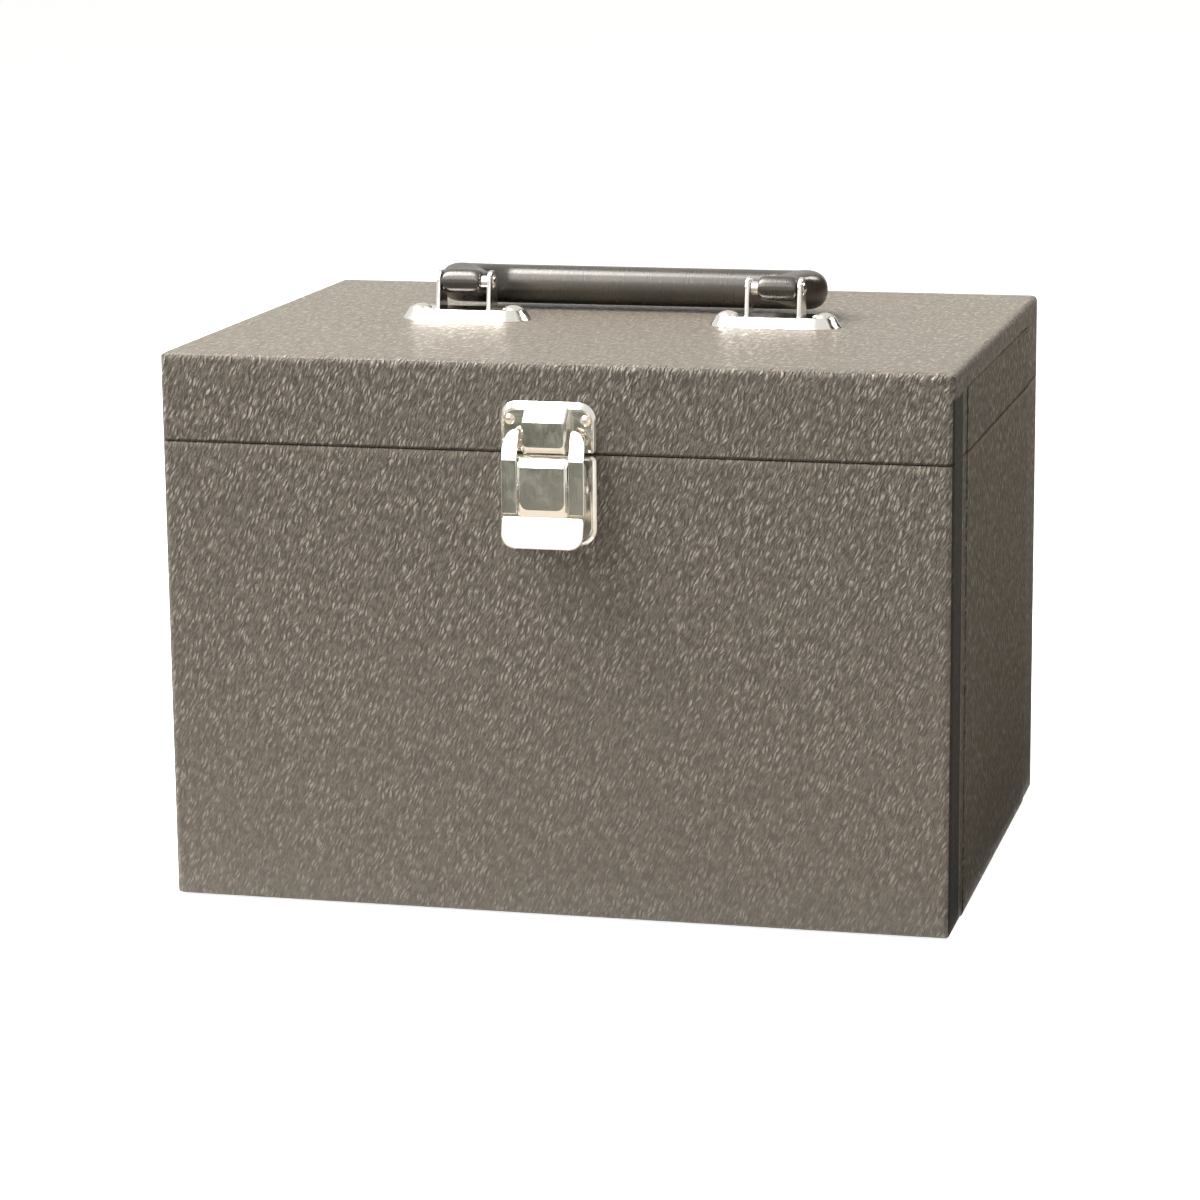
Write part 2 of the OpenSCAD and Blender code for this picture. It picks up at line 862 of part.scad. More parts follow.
module link_pin() {
    head_x = link_w / 2 + side_clear / 2;
    color(nickel)
        translate([0, link_y, link_z])
            for (s = [-1, 1])
                rotate([0, s * 90, 0]) {
                    cylinder(h = head_x + side_clear, r = latch_pin_r);
                    translate([0, 0, head_x])
                        dome(latch_pin_r + 0.8 * sheet_t, 1.4 * sheet_t, 0.5 * sheet_t);
                }
}

// Keeper: plate with a hollow boss and two lugs that the link's arms stand over
module keeper() {
    boss_y = face_y - boss_out;
    shoulder_z = keeper_z1 - boss_slope;
    chin_z = keeper_z0 + 3.2 * sheet_t;
    chin_y = boss_y + 1.6 * sheet_t;
    boss_z0 = keeper_z0 - plate_gap / 4;
    taper = 0.6 * sheet_t;
    lug_y = face_y - boss_out / 2;
    lug_z = keeper_z0 + 3.4 * sheet_t;
    lug_top = lug_z + 3.6 * sheet_t;
    color(nickel)
        difference() {
            union() {
                rimmed_plate(keeper_z0, keeper_z1, 1.5 * rim_w, 6.5 * rim_w);
                intersection() {
                    along_x(-boss_w / 2, boss_w / 2)
                        polygon([[root_y, keeper_z1 - rim_w], [plate_y, keeper_z1 - rim_w],
                            [boss_y, shoulder_z], [boss_y, chin_z], [chin_y, boss_z0], [root_y, boss_z0]]);
                    linear_extrude(case_h)
                        polygon([[-boss_w / 2, root_y], [boss_w / 2, root_y],
                            [boss_w / 2 - taper, boss_y], [taper - boss_w / 2, boss_y]]);
                }
                for (s = [-1, 1])
                    translate([s * (arm_x + link_w / 2) / 2, 0, 0])
                        along_x(-lug_w / 2, lug_w / 2)
                            polygon([[root_y, lug_z], [lug_y, lug_z], [lug_y, lug_top],
                                [lug_y + 0.8 * sheet_t, lug_top], [lug_y + 0.8 * sheet_t, lug_z + sheet_t],
                                [root_y, lug_z + sheet_t]]);
            }
            along_x(sheet_t - boss_w / 2, boss_w / 2 - sheet_t)
                polygon([[plate_y, keeper_z1 - rim_w - 1.4 * sheet_t],
                    [boss_y + sheet_t, shoulder_z - sheet_t / 2], [boss_y + sheet_t, chin_z],
                    [chin_y + sheet_t, keeper_z0 - cut], [plate_y, keeper_z0 - cut]]);
            keeper_rivet_holes();
        }
}

// Hinges

// Middle of each hinge, and its axis just clear of the covering
hinge_x = half_w - hinge_end;
hinge_out = knuckle_r + 0.2;
hinge_y = half_d + hinge_out;
// Inner faces that a leaf shares with the covering
leaf_y = [half_d, half_d + leaf_t];
knuckle_len = (hinge_w - (knuckles - 1) * knuckle_gap) / knuckles;
leaf_clear = knuckle_r + knuckle_gap;
stop_clear = 0.15;
stop_len = (hinge_out - leaf_t - stop_clear - stop_t / 2 * sin(lid_open)) / -cos(lid_open);
hinge_rivet_x = hinge_w / 2 - hinge_rivet_side;
hinge_rivet_z = leaf_h - hinge_rivet_edge;
hinge_shank = leaf_t + cover_t + wall_t - rivet_end;

// Knuckles of one leaf, the body's being the even ones
module knuckle_row(first) {
    for (i = [first : 2 : knuckles - 1])
        translate([i * (knuckle_len + knuckle_gap) - hinge_w / 2, 0, 0])
            children();
}

// One leaf round the middle of its hinge; dir is -1 for the body and 1 for the lid
module hinge_leaf(dir) {
    first = dir < 0 ? 0 : 1;
    difference() {
        union() {
            translate([0, hinge_y, seam_z])
                knuckle_row(first)
                    rotate([0, 90, 0])
                        cylinder(h = knuckle_len, r = knuckle_r);
            along_y(leaf_y[0], leaf_y[1])
                translate([0, seam_z])
                    mirror([0, dir < 0 ? 1 : 0])
                        plate_outline(hinge_w, leaf_clear, leaf_h, leaf_t / 2, leaf_corner_r);
            translate([0, 0, seam_z])
                knuckle_row(first)
                    span([0, knuckle_len], leaf_y,
                        dir < 0 ? [-leaf_clear - leaf_t, 0] : [0, leaf_clear + leaf_t]);
            if (dir > 0)
                translate([0, hinge_y, seam_z])
                    knuckle_row(first)
                        span([0, knuckle_len], [0, stop_len], [-stop_t / 2, stop_t / 2]);
        }
        translate([0, hinge_y, seam_z])
            rotate([0, 90, 0])
                cylinder(h = 2 * hinge_w, r = hinge_pin_r + pin_clear, center = true);
        leaf_rivet_holes(dir);
    }
}

module leaf_rivet_holes(dir) {
    for (s = [-1, 1])
        translate([s * hinge_rivet_x, half_d + leaf_t + cut, seam_z + dir * hinge_rivet_z])
            rotate([90, 0, 0])
                cylinder(h = hinge_shank + cut, r = rivet_r);
}

module hinge_rivet_holes(dir) {
    for (s = [-1, 1])
        translate([s * hinge_x, 0, 0])
            leaf_rivet_holes(dir);
}

module leaf_rivets(dir) {
    color(nickel)
        for (t = [-1, 1], s = [-1, 1])
            translate([t * hinge_x + s * hinge_rivet_x, half_d + leaf_t, seam_z + dir * hinge_rivet_z])
                rotate([-90, 0, 0])
                    rivet(rivet_head_r, rivet_head_h, hinge_shank);
}

module hinge_pin() {
    color(nickel)
        translate([0, hinge_y, seam_z])
            rotate([0, 90, 0])
                cylinder(h = hinge_w + leaf_t, r = hinge_pin_r, center = true);
}

module left_hinge_body_leaf() {
    color(nickel) translate([-hinge_x, 0, 0]) hinge_leaf(-1);
}

module right_hinge_body_leaf() {
    color(nickel) translate([hinge_x, 0, 0]) hinge_leaf(-1);
}

module left_hinge_lid_leaf() {
    color(nickel) translate([-hinge_x, 0, 0]) hinge_leaf(1);
}

module right_hinge_lid_leaf() {
    color(nickel) translate([hinge_x, 0, 0]) hinge_leaf(1);
}

module left_hinge_pin() {
    translate([-hinge_x, 0, 0]) hinge_pin();
}

module right_hinge_pin() {
    translate([hinge_x, 0, 0]) hinge_pin();
}

module hinge_body_rivets() {
    leaf_rivets(-1);
}

module hinge_lid_rivets() {
    leaf_rivets(1);
}

// Panels of the lid

module top_space() {
    span([-inner_x - rabbet, inner_x + rabbet], [-inner_y - rabbet, inner_y + rabbet],
        [ceiling_z, lid_wood_z1 + cut]);
}

module lid_top_panel() {
    color(wood)
        difference() {
            span([-inner_x - rabbet, inner_x + rabbet], [-inner_y - rabbet, inner_y + rabbet],
                [ceiling_z, lid_wood_z1]);
            bracket_rivet_holes();
        }
}

module end_rail(side) {
    y = side < 0 ? [-wood_y, -inner_y] : [inner_y, wood_y];
    difference() {
        intersection() {
            wood_block();
            span([-half_w, half_w], y, [lid_wood_z0, case_h]);
        }
        side_wall_space(-1, [0, case_h]);
        side_wall_space(1, [0, case_h]);
        top_space();
    }
}

module side_rail(side) {
    difference() {
        intersection() {
            wood_block();
            side_wall_space(side, [lid_wood_z0, case_h]);
        }
        top_space();
    }
}

module lid_front_rail() {
    color(wood)
        difference() {
            end_rail(-1);
            keeper_rivet_holes();
        }
}

module lid_back_rail() {
    color(wood)
        difference() {
            end_rail(1);
            hinge_rivet_holes(1);
        }
}

module lid_left_rail() {
    color(wood) side_rail(-1);
}

module lid_right_rail() {
    color(wood) side_rail(1);
}

// Covering of the lid: one sheet over front, top and back, with a short return down the sides

module lid_cover() {
    color(leathercloth)
        difference() {
            union() {
                difference() {
                    intersection() {
                        outer_block();
                        span([-half_w, half_w], [-half_d, half_d], [lid_bottom, case_h]);
                    }
                    wood_block();
                    span([-half_w - cut, half_w + cut], [side_return - half_d, half_d - side_return],
                        [0, case_h - top_return]);
                    span([-inner_x, inner_x], [-inner_y, inner_y], [0, lid_wood_z1]);
                }
                for (s = [0, 1])
                    mirror([0, s, 0])
                        lid_rim_turn();
            }
            keeper_rivet_holes();
            hinge_rivet_holes(1);
            bracket_rivet_holes();
        }
}

// Covering turned over the rim of the lid's front rail
module lid_rim_turn() {
    intersection() {
        outer_block();
        span([-half_w, half_w], [-half_d, -inner_y], [lid_bottom, lid_wood_z0]);
    }
    span([-inner_x, inner_x], [-inner_y - cover_t, cover_t - inner_y], [lid_bottom, lid_wood_z0]);
    span([-inner_x, inner_x], [-inner_y, cover_t - inner_y], [lid_bottom, lid_bottom + turn_in]);
}

module lid_side_sheet() {
    difference() {
        intersection() {
            side_block();
            span([wood_x, half_w + cut], [side_edge - half_d, half_d - side_edge],
                [lid_bottom, case_h - top_return - lap_gap]);
        }
        wood_block();
        lap_space([0, case_h]);
    }
    span([inner_x - cover_t, wood_x + cover_t], [side_return - half_d, half_d - side_return],
        [lid_bottom, lid_wood_z0]);
    span([inner_x - cover_t, wood_x], [cover_t - inner_y, inner_y - cover_t],
        [lid_bottom, lid_wood_z0]);
    span([inner_x - cover_t, inner_x], [cover_t - inner_y, inner_y - cover_t],
        [lid_bottom, lid_bottom + turn_in]);
}

module lid_left_cover() {
    color(leathercloth) mirror([1, 0, 0]) lid_side_sheet();
}

module lid_right_cover() {
    color(leathercloth) lid_side_sheet();
}

// Lining of the lid

module lid_front_liner() {
    color(velvet) intersection() {
        lid_lining_ring();
        end_space(-1);
    }
}

module lid_back_liner() {
    color(velvet) intersection() {
        lid_lining_ring();
        end_space(1);
    }
}

module lid_left_liner() {
    color(velvet) intersection() {
        lid_lining_ring();
        side_space(-1);
    }
}

module lid_right_liner() {
    color(velvet) intersection() {
        lid_lining_ring();
        side_space(1);
    }
}

// Outline of the pad, as a rounded rectangle whose sides draw in between its corners
function pad_ring(share, z) =
    [for (i = [0 : 47])
        let (angle = i * 7.5,
            draw = pad_draw * pow(cos(2 * angle), 4) * share,
            p = super_point(room_x - pad_clear - draw, room_y - pad_clear - draw, 12, angle))
            [p[0] * share, p[1] * share, z]];

// Padded board that holds the chalice down, with its crown towards the cradle
module lid_pad() {
    top = ceiling_z;
    low = top - pad_edge;
    shares = [0.975, 0.9, 0.75, 0.55, 0.3, 0.05];
    color(velvet)
        loft(concat([pad_ring(0.99, top), pad_ring(1, top - pad_edge / 3), pad_ring(0.995, low + 1)],
            [for (share = shares) pad_ring(share, low - pad_crown * (1 - share * share))]));
}

// Handle

pin_z = case_h + pin_up;
ear_face = ear_pitch / 2 - ear_t / 2;
bush_len = 2 * ear_face - 2 * ear_gap;
tab_mid = bracket_x + ear_face - ear_gap - tab_w / 2;
cap_z = case_h + cap_h;
// The rivets' heads keep just inside the rounded ends of the plate's flat top
bracket_rivet_x = bracket_len / 2 - cap_bevel - bracket_head_r - 0.2;
bracket_shank = cap_h + cover_t + panel_t - rivet_end;

module bracket_rivet_holes() {
    for (t = [-1, 1], s = [-1, 1])
        translate([t * bracket_x + s * bracket_rivet_x, 0, cap_z - bracket_shank])
            cylinder(h = bracket_shank + cut, r = rivet_r);
}

module bracket_rivets() {
    color(nickel)
        for (t = [-1, 1], s = [-1, 1])
            translate([t * bracket_x + s * bracket_rivet_x, 0, cap_z])
                rivet(bracket_head_r, bracket_head_h, bracket_shank);
}

// Long plate with half-round ends and sloping sides, smaller by t all round
module bracket_cap(t) {
    half = bracket_d / 2;
    top = half - cap_bevel - t / 2;
    straight = bracket_len - bracket_d;
    translate([0, 0, -t]) {
        for (s = [-1, 1])
            translate([s * straight / 2, 0, 0])
                cylinder(h = cap_h, r1 = half - t, r2 = top);
        rotate([90, 0, 90])
            linear_extrude(straight, center = true)
                polygon([[t - half, 0], [half - t, 0], [top, cap_h], [-top, cap_h]]);
    }
}

// Hollow plate with two ears, standing on the lid at x = 0
module handle_bracket() {
    translate([0, 0, case_h])
        difference() {
            union() {
                difference() {
                    bracket_cap(0);
                    bracket_cap(sheet_t);
                }
                for (s = [-1, 1])
                    along_x(s * ear_pitch / 2 - ear_t / 2, s * ear_pitch / 2 + ear_t / 2) {
                        translate([0, pin_up]) circle(ear_r);
                        polygon([[-ear_foot / 2, cap_h - sheet_t], [ear_foot / 2, cap_h - sheet_t],
                            [ear_r, pin_up], [-ear_r, pin_up]]);
                    }
            }
            translate([0, 0, pin_up])
                rotate([0, 90, 0])
                    cylinder(h = 2 * bracket_len, r = handle_pin_r + pin_clear, center = true);
            for (s = [-1, 1])
                translate([s * bracket_rivet_x, 0, 0])
                    cylinder(h = cap_h + cut, r = rivet_r);
        }
}

module left_handle_bracket() {
    color(nickel) translate([-bracket_x, 0, 0]) handle_bracket();
}

module right_handle_bracket() {
    color(nickel) translate([bracket_x, 0, 0]) handle_bracket();
}

// Pin with a low domed head outside each ear
module handle_pin() {
    reach = ear_face + ear_t + ear_gap / 2;
    translate([0, 0, pin_z])
        for (s = [-1, 1])
            rotate([0, s * 90, 0]) {
                cylinder(h = reach + 2 * ear_gap, r = handle_pin_r);
                translate([0, 0, reach])
                    dome(handle_pin_r + 1, 1.1);
            }
}

module left_handle_pin() {
    color(nickel) translate([-bracket_x, 0, 0]) handle_pin();
}

module right_handle_pin() {
    color(nickel) translate([bracket_x, 0, 0]) handle_pin();
}

module handle_bush() {
    translate([0, 0, pin_z])
        rotate([0, 90, 0])
            difference() {
                cylinder(h = bush_len, r = bush_r, center = true);
                cylinder(h = 2 * bush_len, r = handle_pin_r + pin_clear, center = true);
            }
}

module left_handle_bush() {
    color(nickel) translate([-bracket_x, 0, 0]) handle_bush();
}

module right_handle_bush() {
    color(nickel) translate([bracket_x, 0, 0]) handle_bush();
}

// Middle line of half the handle in its own plane: x along the case, s away from the pins.
// Each station is [x, s, heading, half width, half thickness, squareness].
// Half height of the straight tab, where the necks begin
tab_end = tab_r + 1.5;
leg_s = bar_reach - corner_r;
// Glue gap round the bushes
bush_clear = 0.02;
tab_square = 5;
bar_square = 2.3;
function ease(u) = u * u * (3 - 2 * u);
function mix(a, b, u) = a + (b - a) * u;
function tab_stations() =
    [for (a = [14, 30, 48, 68, 90])
        [tab_mid, -tab_r * cos(a), 90, tab_w / 2 - 0.9 * (1 - sin(a)), tab_r * sin(a), tab_square]];
function neck_stations() =
    [for (k = [0 : 7])
        let (u = k / 8, e = ease(u), slope = (leg_x - tab_mid) * 6 * u * (1 - u) / (leg_s - tab_end))
            [mix(tab_mid, leg_x, e), mix(tab_end, leg_s, u), 90 - atan(slope),
                mix(tab_w / 2, bar_a, e), mix(tab_r, bar_b, e), mix(tab_square, bar_square, e)]];
function corner_stations() =
    [for (k = [0 : 7])
        let (a = k * 90 / 8)
            [leg_x - corner_r + corner_r * cos(a), leg_s + corner_r * sin(a), 90 + a,
                bar_a, bar_b, bar_square]];
function bar_stations() =
    [for (u = [0, 0.25, 0.5, 0.75])
        [mix(leg_x - corner_r, 0, u), bar_reach, 180, bar_a, bar_b, bar_square]];
half_stations = concat(tab_stations(), neck_stations(), corner_stations(), bar_stations());
// The other half is the mirror image, run backwards
all_stations = concat(half_stations, [[0, bar_reach, 180, bar_a, bar_b, bar_square]],
    [for (k = [len(half_stations) - 1 : -1 : 0])
        let (p = half_stations[k])
            [-p[0], p[1], 360 - p[2], p[3], p[4], p[5]]]);
function grip_ring(p) =
    [for (i = [0 : 23])
        let (q = super_point(p[3], p[4], p[5], i * 15))
            [p[0] + q[0] * sin(p[2]), p[1] - q[0] * cos(p[2]), q[1]]];

module handle_grip() {
    color(grip_brown)
        difference() {
            translate([0, 0, pin_z])
                rotate([-handle_droop, 0, 0])
                    loft([for (p = all_stations) grip_ring(p)]);
            for (s = [-1, 1])
                translate([s * tab_mid, 0, pin_z])
                    rotate([0, 90, 0])
                        cylinder(h = tab_w + 2 * cut, r = bush_r + bush_clear, center = true);
        }
}

bottom_panel();
front_panel();
back_panel();
left_panel();
right_panel();
bottom_cover();
front_cover();
back_cover();
left_cover();
right_cover();
front_liner();
back_liner();
left_liner();
right_liner();
foot_block();
stem_block();
cup_block();
paten_block();
latch_base();
latch_rivets();
lever_pin();
left_hinge_body_leaf();
right_hinge_body_leaf();
left_hinge_pin();
right_hinge_pin();
hinge_body_rivets();
lid_top_panel();
lid_front_rail();
lid_back_rail();
lid_left_rail();
lid_right_rail();
lid_cover();
lid_left_cover();
lid_right_cover();
lid_front_liner();
lid_back_liner();
lid_left_liner();
lid_right_liner();
lid_pad();
keeper();
keeper_rivets();
left_handle_bracket();
right_handle_bracket();
bracket_rivets();
left_handle_pin();
right_handle_pin();
left_hinge_lid_leaf();
right_hinge_lid_leaf();
hinge_lid_rivets();
latch_lever();
link_pin();
latch_link();
handle_grip();
left_handle_bush();
right_handle_bush();
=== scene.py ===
import math
from collections import namedtuple

import bmesh
import bpy
from mathutils import Matrix, Vector

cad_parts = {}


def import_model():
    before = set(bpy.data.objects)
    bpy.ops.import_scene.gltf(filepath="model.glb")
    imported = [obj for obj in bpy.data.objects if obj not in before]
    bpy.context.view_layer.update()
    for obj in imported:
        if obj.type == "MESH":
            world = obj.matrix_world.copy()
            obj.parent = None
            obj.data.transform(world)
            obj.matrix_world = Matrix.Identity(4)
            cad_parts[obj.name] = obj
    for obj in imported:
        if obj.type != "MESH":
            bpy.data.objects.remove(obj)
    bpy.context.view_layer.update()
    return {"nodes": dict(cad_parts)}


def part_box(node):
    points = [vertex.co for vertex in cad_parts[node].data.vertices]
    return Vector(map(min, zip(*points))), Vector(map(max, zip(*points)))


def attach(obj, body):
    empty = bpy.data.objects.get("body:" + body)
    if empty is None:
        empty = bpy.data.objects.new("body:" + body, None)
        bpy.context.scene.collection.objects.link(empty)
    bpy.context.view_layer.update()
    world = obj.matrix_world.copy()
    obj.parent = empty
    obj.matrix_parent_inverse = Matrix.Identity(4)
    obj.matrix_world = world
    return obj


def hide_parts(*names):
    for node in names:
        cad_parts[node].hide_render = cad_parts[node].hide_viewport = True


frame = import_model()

NODES = frame["nodes"]
MM = 0.001


def corners(node):
    """Lowest and highest corner of a CAD node, in millimetres."""
    return [[round(c / MM, 2) for c in corner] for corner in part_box(node)]


def middle(node, axis):
    low, high = corners(node)
    return (low[axis] + high[axis]) / 2


# Sizes of the case, in millimetres
HALF_W, HALF_D, CASE_H = corners("lid_cover")[1]
FACE_Y = -HALF_D
SEAM_Z = (corners("front_cover")[1][2] + corners("lid_cover")[0][2]) / 2

# The pins that the handle and the latch's lever turn on
HANDLE_PIN_Z = middle("left_handle_pin", 2)
LEVER_PIN_Y, LEVER_PIN_Z = middle("lever_pin", 1), middle("lever_pin", 2)


# Shader helpers

def shade(color, k):
    """The colour made k times as bright."""
    return tuple(c * k for c in color)


class Shader:
    """The node tree of a new material or world, with short ways to add nodes."""

    def __init__(self, name, kind=bpy.data.materials):
        self.owner = kind.new(name)
        self.owner.use_nodes = True
        self.tree = self.owner.node_tree
        self.tree.nodes.clear()
        self.coords = self.node("ShaderNodeTexCoord").outputs

    def put(self, socket, value):
        if isinstance(value, bpy.types.NodeSocket):
            self.tree.links.new(value, socket)
        else:
            socket.default_value = value

    def node(self, kind, inputs=None, **props):
        n = self.tree.nodes.new(kind)
        for key, value in props.items():
            setattr(n, key, value)
        for key, value in (inputs or {}).items():
            self.put(n.inputs[key], value)
        return n

    def math(self, operation, *values):
        return self.node("ShaderNodeMath", dict(enumerate(values)), operation=operation).outputs[0]

    def plus(self, a, b):
        return self.math("ADD", a, b)

    def minus(self, a, b):
        return self.math("SUBTRACT", a, b)

    def times(self, first, *others):
        for value in others:
            first = self.math("MULTIPLY", first, value)
        return first

    def larger(self, a, b):
        return self.math("MAXIMUM", a, b)

    def step(self, value, low, high, to_low=0.0, to_high=1.0):
        """Smooth step from low to high."""
        sockets = dict(enumerate((value, low, high, to_low, to_high)))
        return self.node("ShaderNodeMapRange", sockets, interpolation_type="SMOOTHSTEP").outputs[0]

    def mix(self, factor, a, b):
        a, b = ((*c, 1) if isinstance(c, tuple) else c for c in (a, b))
        return self.node("ShaderNodeMix", {0: factor, 6: a, 7: b}, data_type="RGBA").outputs[2]

    def split(self, vector):
        return self.node("ShaderNodeSeparateXYZ", {0: vector}).outputs

    def in_plane(self, across, up):
        return self.node("ShaderNodeCombineXYZ", {0: across, 1: up, 2: 0.0}).outputs[0]

    def mapped(self, sizes, turn=(0, 0, 0)):
        """Object coordinates counted in the given sizes, which are in millimetres."""
        return self.node("ShaderNodeMapping", {"Vector": self.coords["Object"],
            "Scale": [1 / (size * MM) for size in sizes], "Rotation": turn}).outputs[0]

    def noise(self, vector, detail=2.0, rough=0.5, distortion=0.0, dims="3D"):
        return self.node("ShaderNodeTexNoise", {"Vector": vector, "Scale": 1.0, "Detail": detail,
            "Roughness": rough, "Distortion": distortion}, noise_dimensions=dims).outputs[0]

    def bump(self, height, depth_mm, strength=1.0, normal=None):
        sockets = {"Height": height, "Distance": depth_mm * MM, "Strength": strength}
        if normal is not None:
            sockets["Normal"] = normal
        return self.node("ShaderNodeBump", sockets).outputs[0]

    def surface(self, shader, kind="ShaderNodeOutputMaterial"):
        self.node(kind, {0: shader.outputs[0]})
        return self.owner

    def finish(self, **inputs):
        """Principled shader with the given sockets; a space in a socket's name is written as _."""
        shader = self.node("ShaderNodeBsdfPrincipled")
        for key, value in inputs.items():
            socket = shader.inputs[key.replace("_", " ")]
            if isinstance(value, tuple) and len(value) == 3 and len(socket.default_value) == 4:
                value = (*value, 1)
            self.put(socket, value)
        return self.surface(shader)


# Leathercloth, in millimetres: width and length of its grains and patches
WIDE_GRAIN = (1.2, 4.5)
THIN_GRAIN = (0.8, 3.3)
FINE_GRAIN = (0.5, 1.2)
GRAIN_BENDS = (3.0, 4.0)
HIGH_PATCHES = (7.0, 10.0)
PALE_PATCHES = (4.2, 3.0)
GRAIN_LEAN = math.radians(23)
GRAIN_DEPTH = 1.1

LID_PAINTED_SHEEN = (0.62, 0.57, 0.5)
SEAM_PAINTED_SHADE = (0.03, 0.018, 0.01)


def sheet_coords(s):
    """Millimetres across and up the nearest face of the box, running on over its edges.

    Also gives masks of the sides and the top, and the place in space.
    """
    x, y, z = (s.times(part, 1000.0) for part in s.split(s.coords["Object"]))
    nx, ny, nz = (s.math("ABSOLUTE", part) for part in s.split(s.coords["Normal"]))
    top = s.times(s.math("GREATER_THAN", nz, nx), s.math("GREATER_THAN", nz, ny))
    side = s.times(s.math("GREATER_THAN", nx, ny), s.minus(1.0, top))
    # Across is x on the front, back and top, and y on the sides. Up is z, and y on the top.
    across = s.plus(s.times(side, y), s.times(s.minus(1.0, side), x))
    across = s.plus(across, s.times(side, HALF_W + HALF_D))
    up = s.plus(s.times(top, s.plus(y, CASE_H + HALF_D)), s.times(s.minus(1.0, top), z))
    return across, up, side, top, (x, y, z)


def stretched(s, plane, size, detail=2.0, rough=0.5):
    """Noise with features of the given width and length."""
    at = s.node("ShaderNodeMapping", {"Vector": plane, "Scale": (1 / size[0], 1 / size[1], 1)}).outputs[0]
    return s.noise(at, detail, rough, dims="2D")


def dashes(s, plane, size, shift):
    """One short raised grain in each cell, and a random number for each cell."""
    at = s.node("ShaderNodeMapping", {"Vector": plane, "Scale": (1 / size[0], 1 / size[1], 1),
        "Location": (shift, shift * 0.7, 0)}).outputs[0]
    cell = s.node("ShaderNodeTexVoronoi", {"Vector": at, "Scale": 1.0}, voronoi_dimensions="2D")
    chance = s.node("ShaderNodeSeparateColor", {0: cell.outputs["Color"]}).outputs[0]
    return s.step(cell.outputs["Distance"], 0.62, 0.12), chance


def embossing(s, across, up):
    """Height of the raised grains, which lean to the right, and the leaning plane that they lie in."""
    lean_x, lean_y = math.sin(GRAIN_LEAN), math.cos(GRAIN_LEAN)
    along = s.plus(s.times(across, lean_x), s.times(up, lean_y))
    over = s.minus(s.times(across, lean_y), s.times(up, lean_x))
    plane = s.in_plane(over, along)
    bend = s.times(s.minus(stretched(s, plane, GRAIN_BENDS, 1.0), 0.5), 1.6)
    bent = s.in_plane(s.plus(over, bend), along)
    wide, wide_chance = dashes(s, bent, WIDE_GRAIN, 0.0)
    thin, thin_chance = dashes(s, bent, THIN_GRAIN, 5.3)
    # Some grains stand higher than others, most of all in patches
    wide_chance = s.plus(wide_chance, s.step(stretched(s, plane, HIGH_PATCHES), 0.3, 0.7, -0.2, 0.2))
    wide = s.times(wide, s.step(wide_chance, 0.15, 0.95, 0.4, 1.0))
    thin = s.times(thin, s.step(thin_chance, 0.2, 0.9, 0.2, 0.7))
    fine = stretched(s, plane, FINE_GRAIN, rough=0.6)
    return s.plus(s.times(s.larger(wide, thin), 0.85), s.times(fine, 0.3)), plane


def rubbed_and_lit_edges(s, x, y, z):
    """Worn spots along the upright edges and round the lid, which are partly a painted highlight of the
    rounded edges.
    """
    near_x = s.step(s.math("ABSOLUTE", x), HALF_W - 2.4, HALF_W - 0.4)
    near_y = s.step(s.math("ABSOLUTE", y), HALF_D - 2.4, HALF_D - 0.4)
    near_z = s.step(z, CASE_H - 2.4, CASE_H - 0.4)
    edges = s.larger(s.times(near_x, near_y), s.times(near_z, s.larger(near_x, near_y)))
    return s.times(edges, s.step(s.noise(s.mapped((7, 7, 7)), detail=3.0), 0.42, 0.7))


def dark_corner_strips(s, side, y, z):
    """Darker strips on the sides behind the front corners, where the sheets' ends are turned round, and a
    pale line beside them that is a painted highlight of a raised edge.
    """
    dark_strip = s.times(side, s.step(y, FACE_Y + 21.0, FACE_Y + 19.8))
    fringe = s.times(side, s.step(y, FACE_Y + 32.0, FACE_Y + 30.0), 0.3)
    below_rim = s.step(z, CASE_H - 10.5, CASE_H - 8.5, 1.0, 0.0)
    painted_edge_highlight = s.times(s.step(y, FACE_Y + 20.4, FACE_Y + 21.0), s.step(y, FACE_Y + 22.4, FACE_Y + 21.8))
    return s.times(s.larger(dark_strip, fringe), below_rim), s.times(side, painted_edge_highlight)


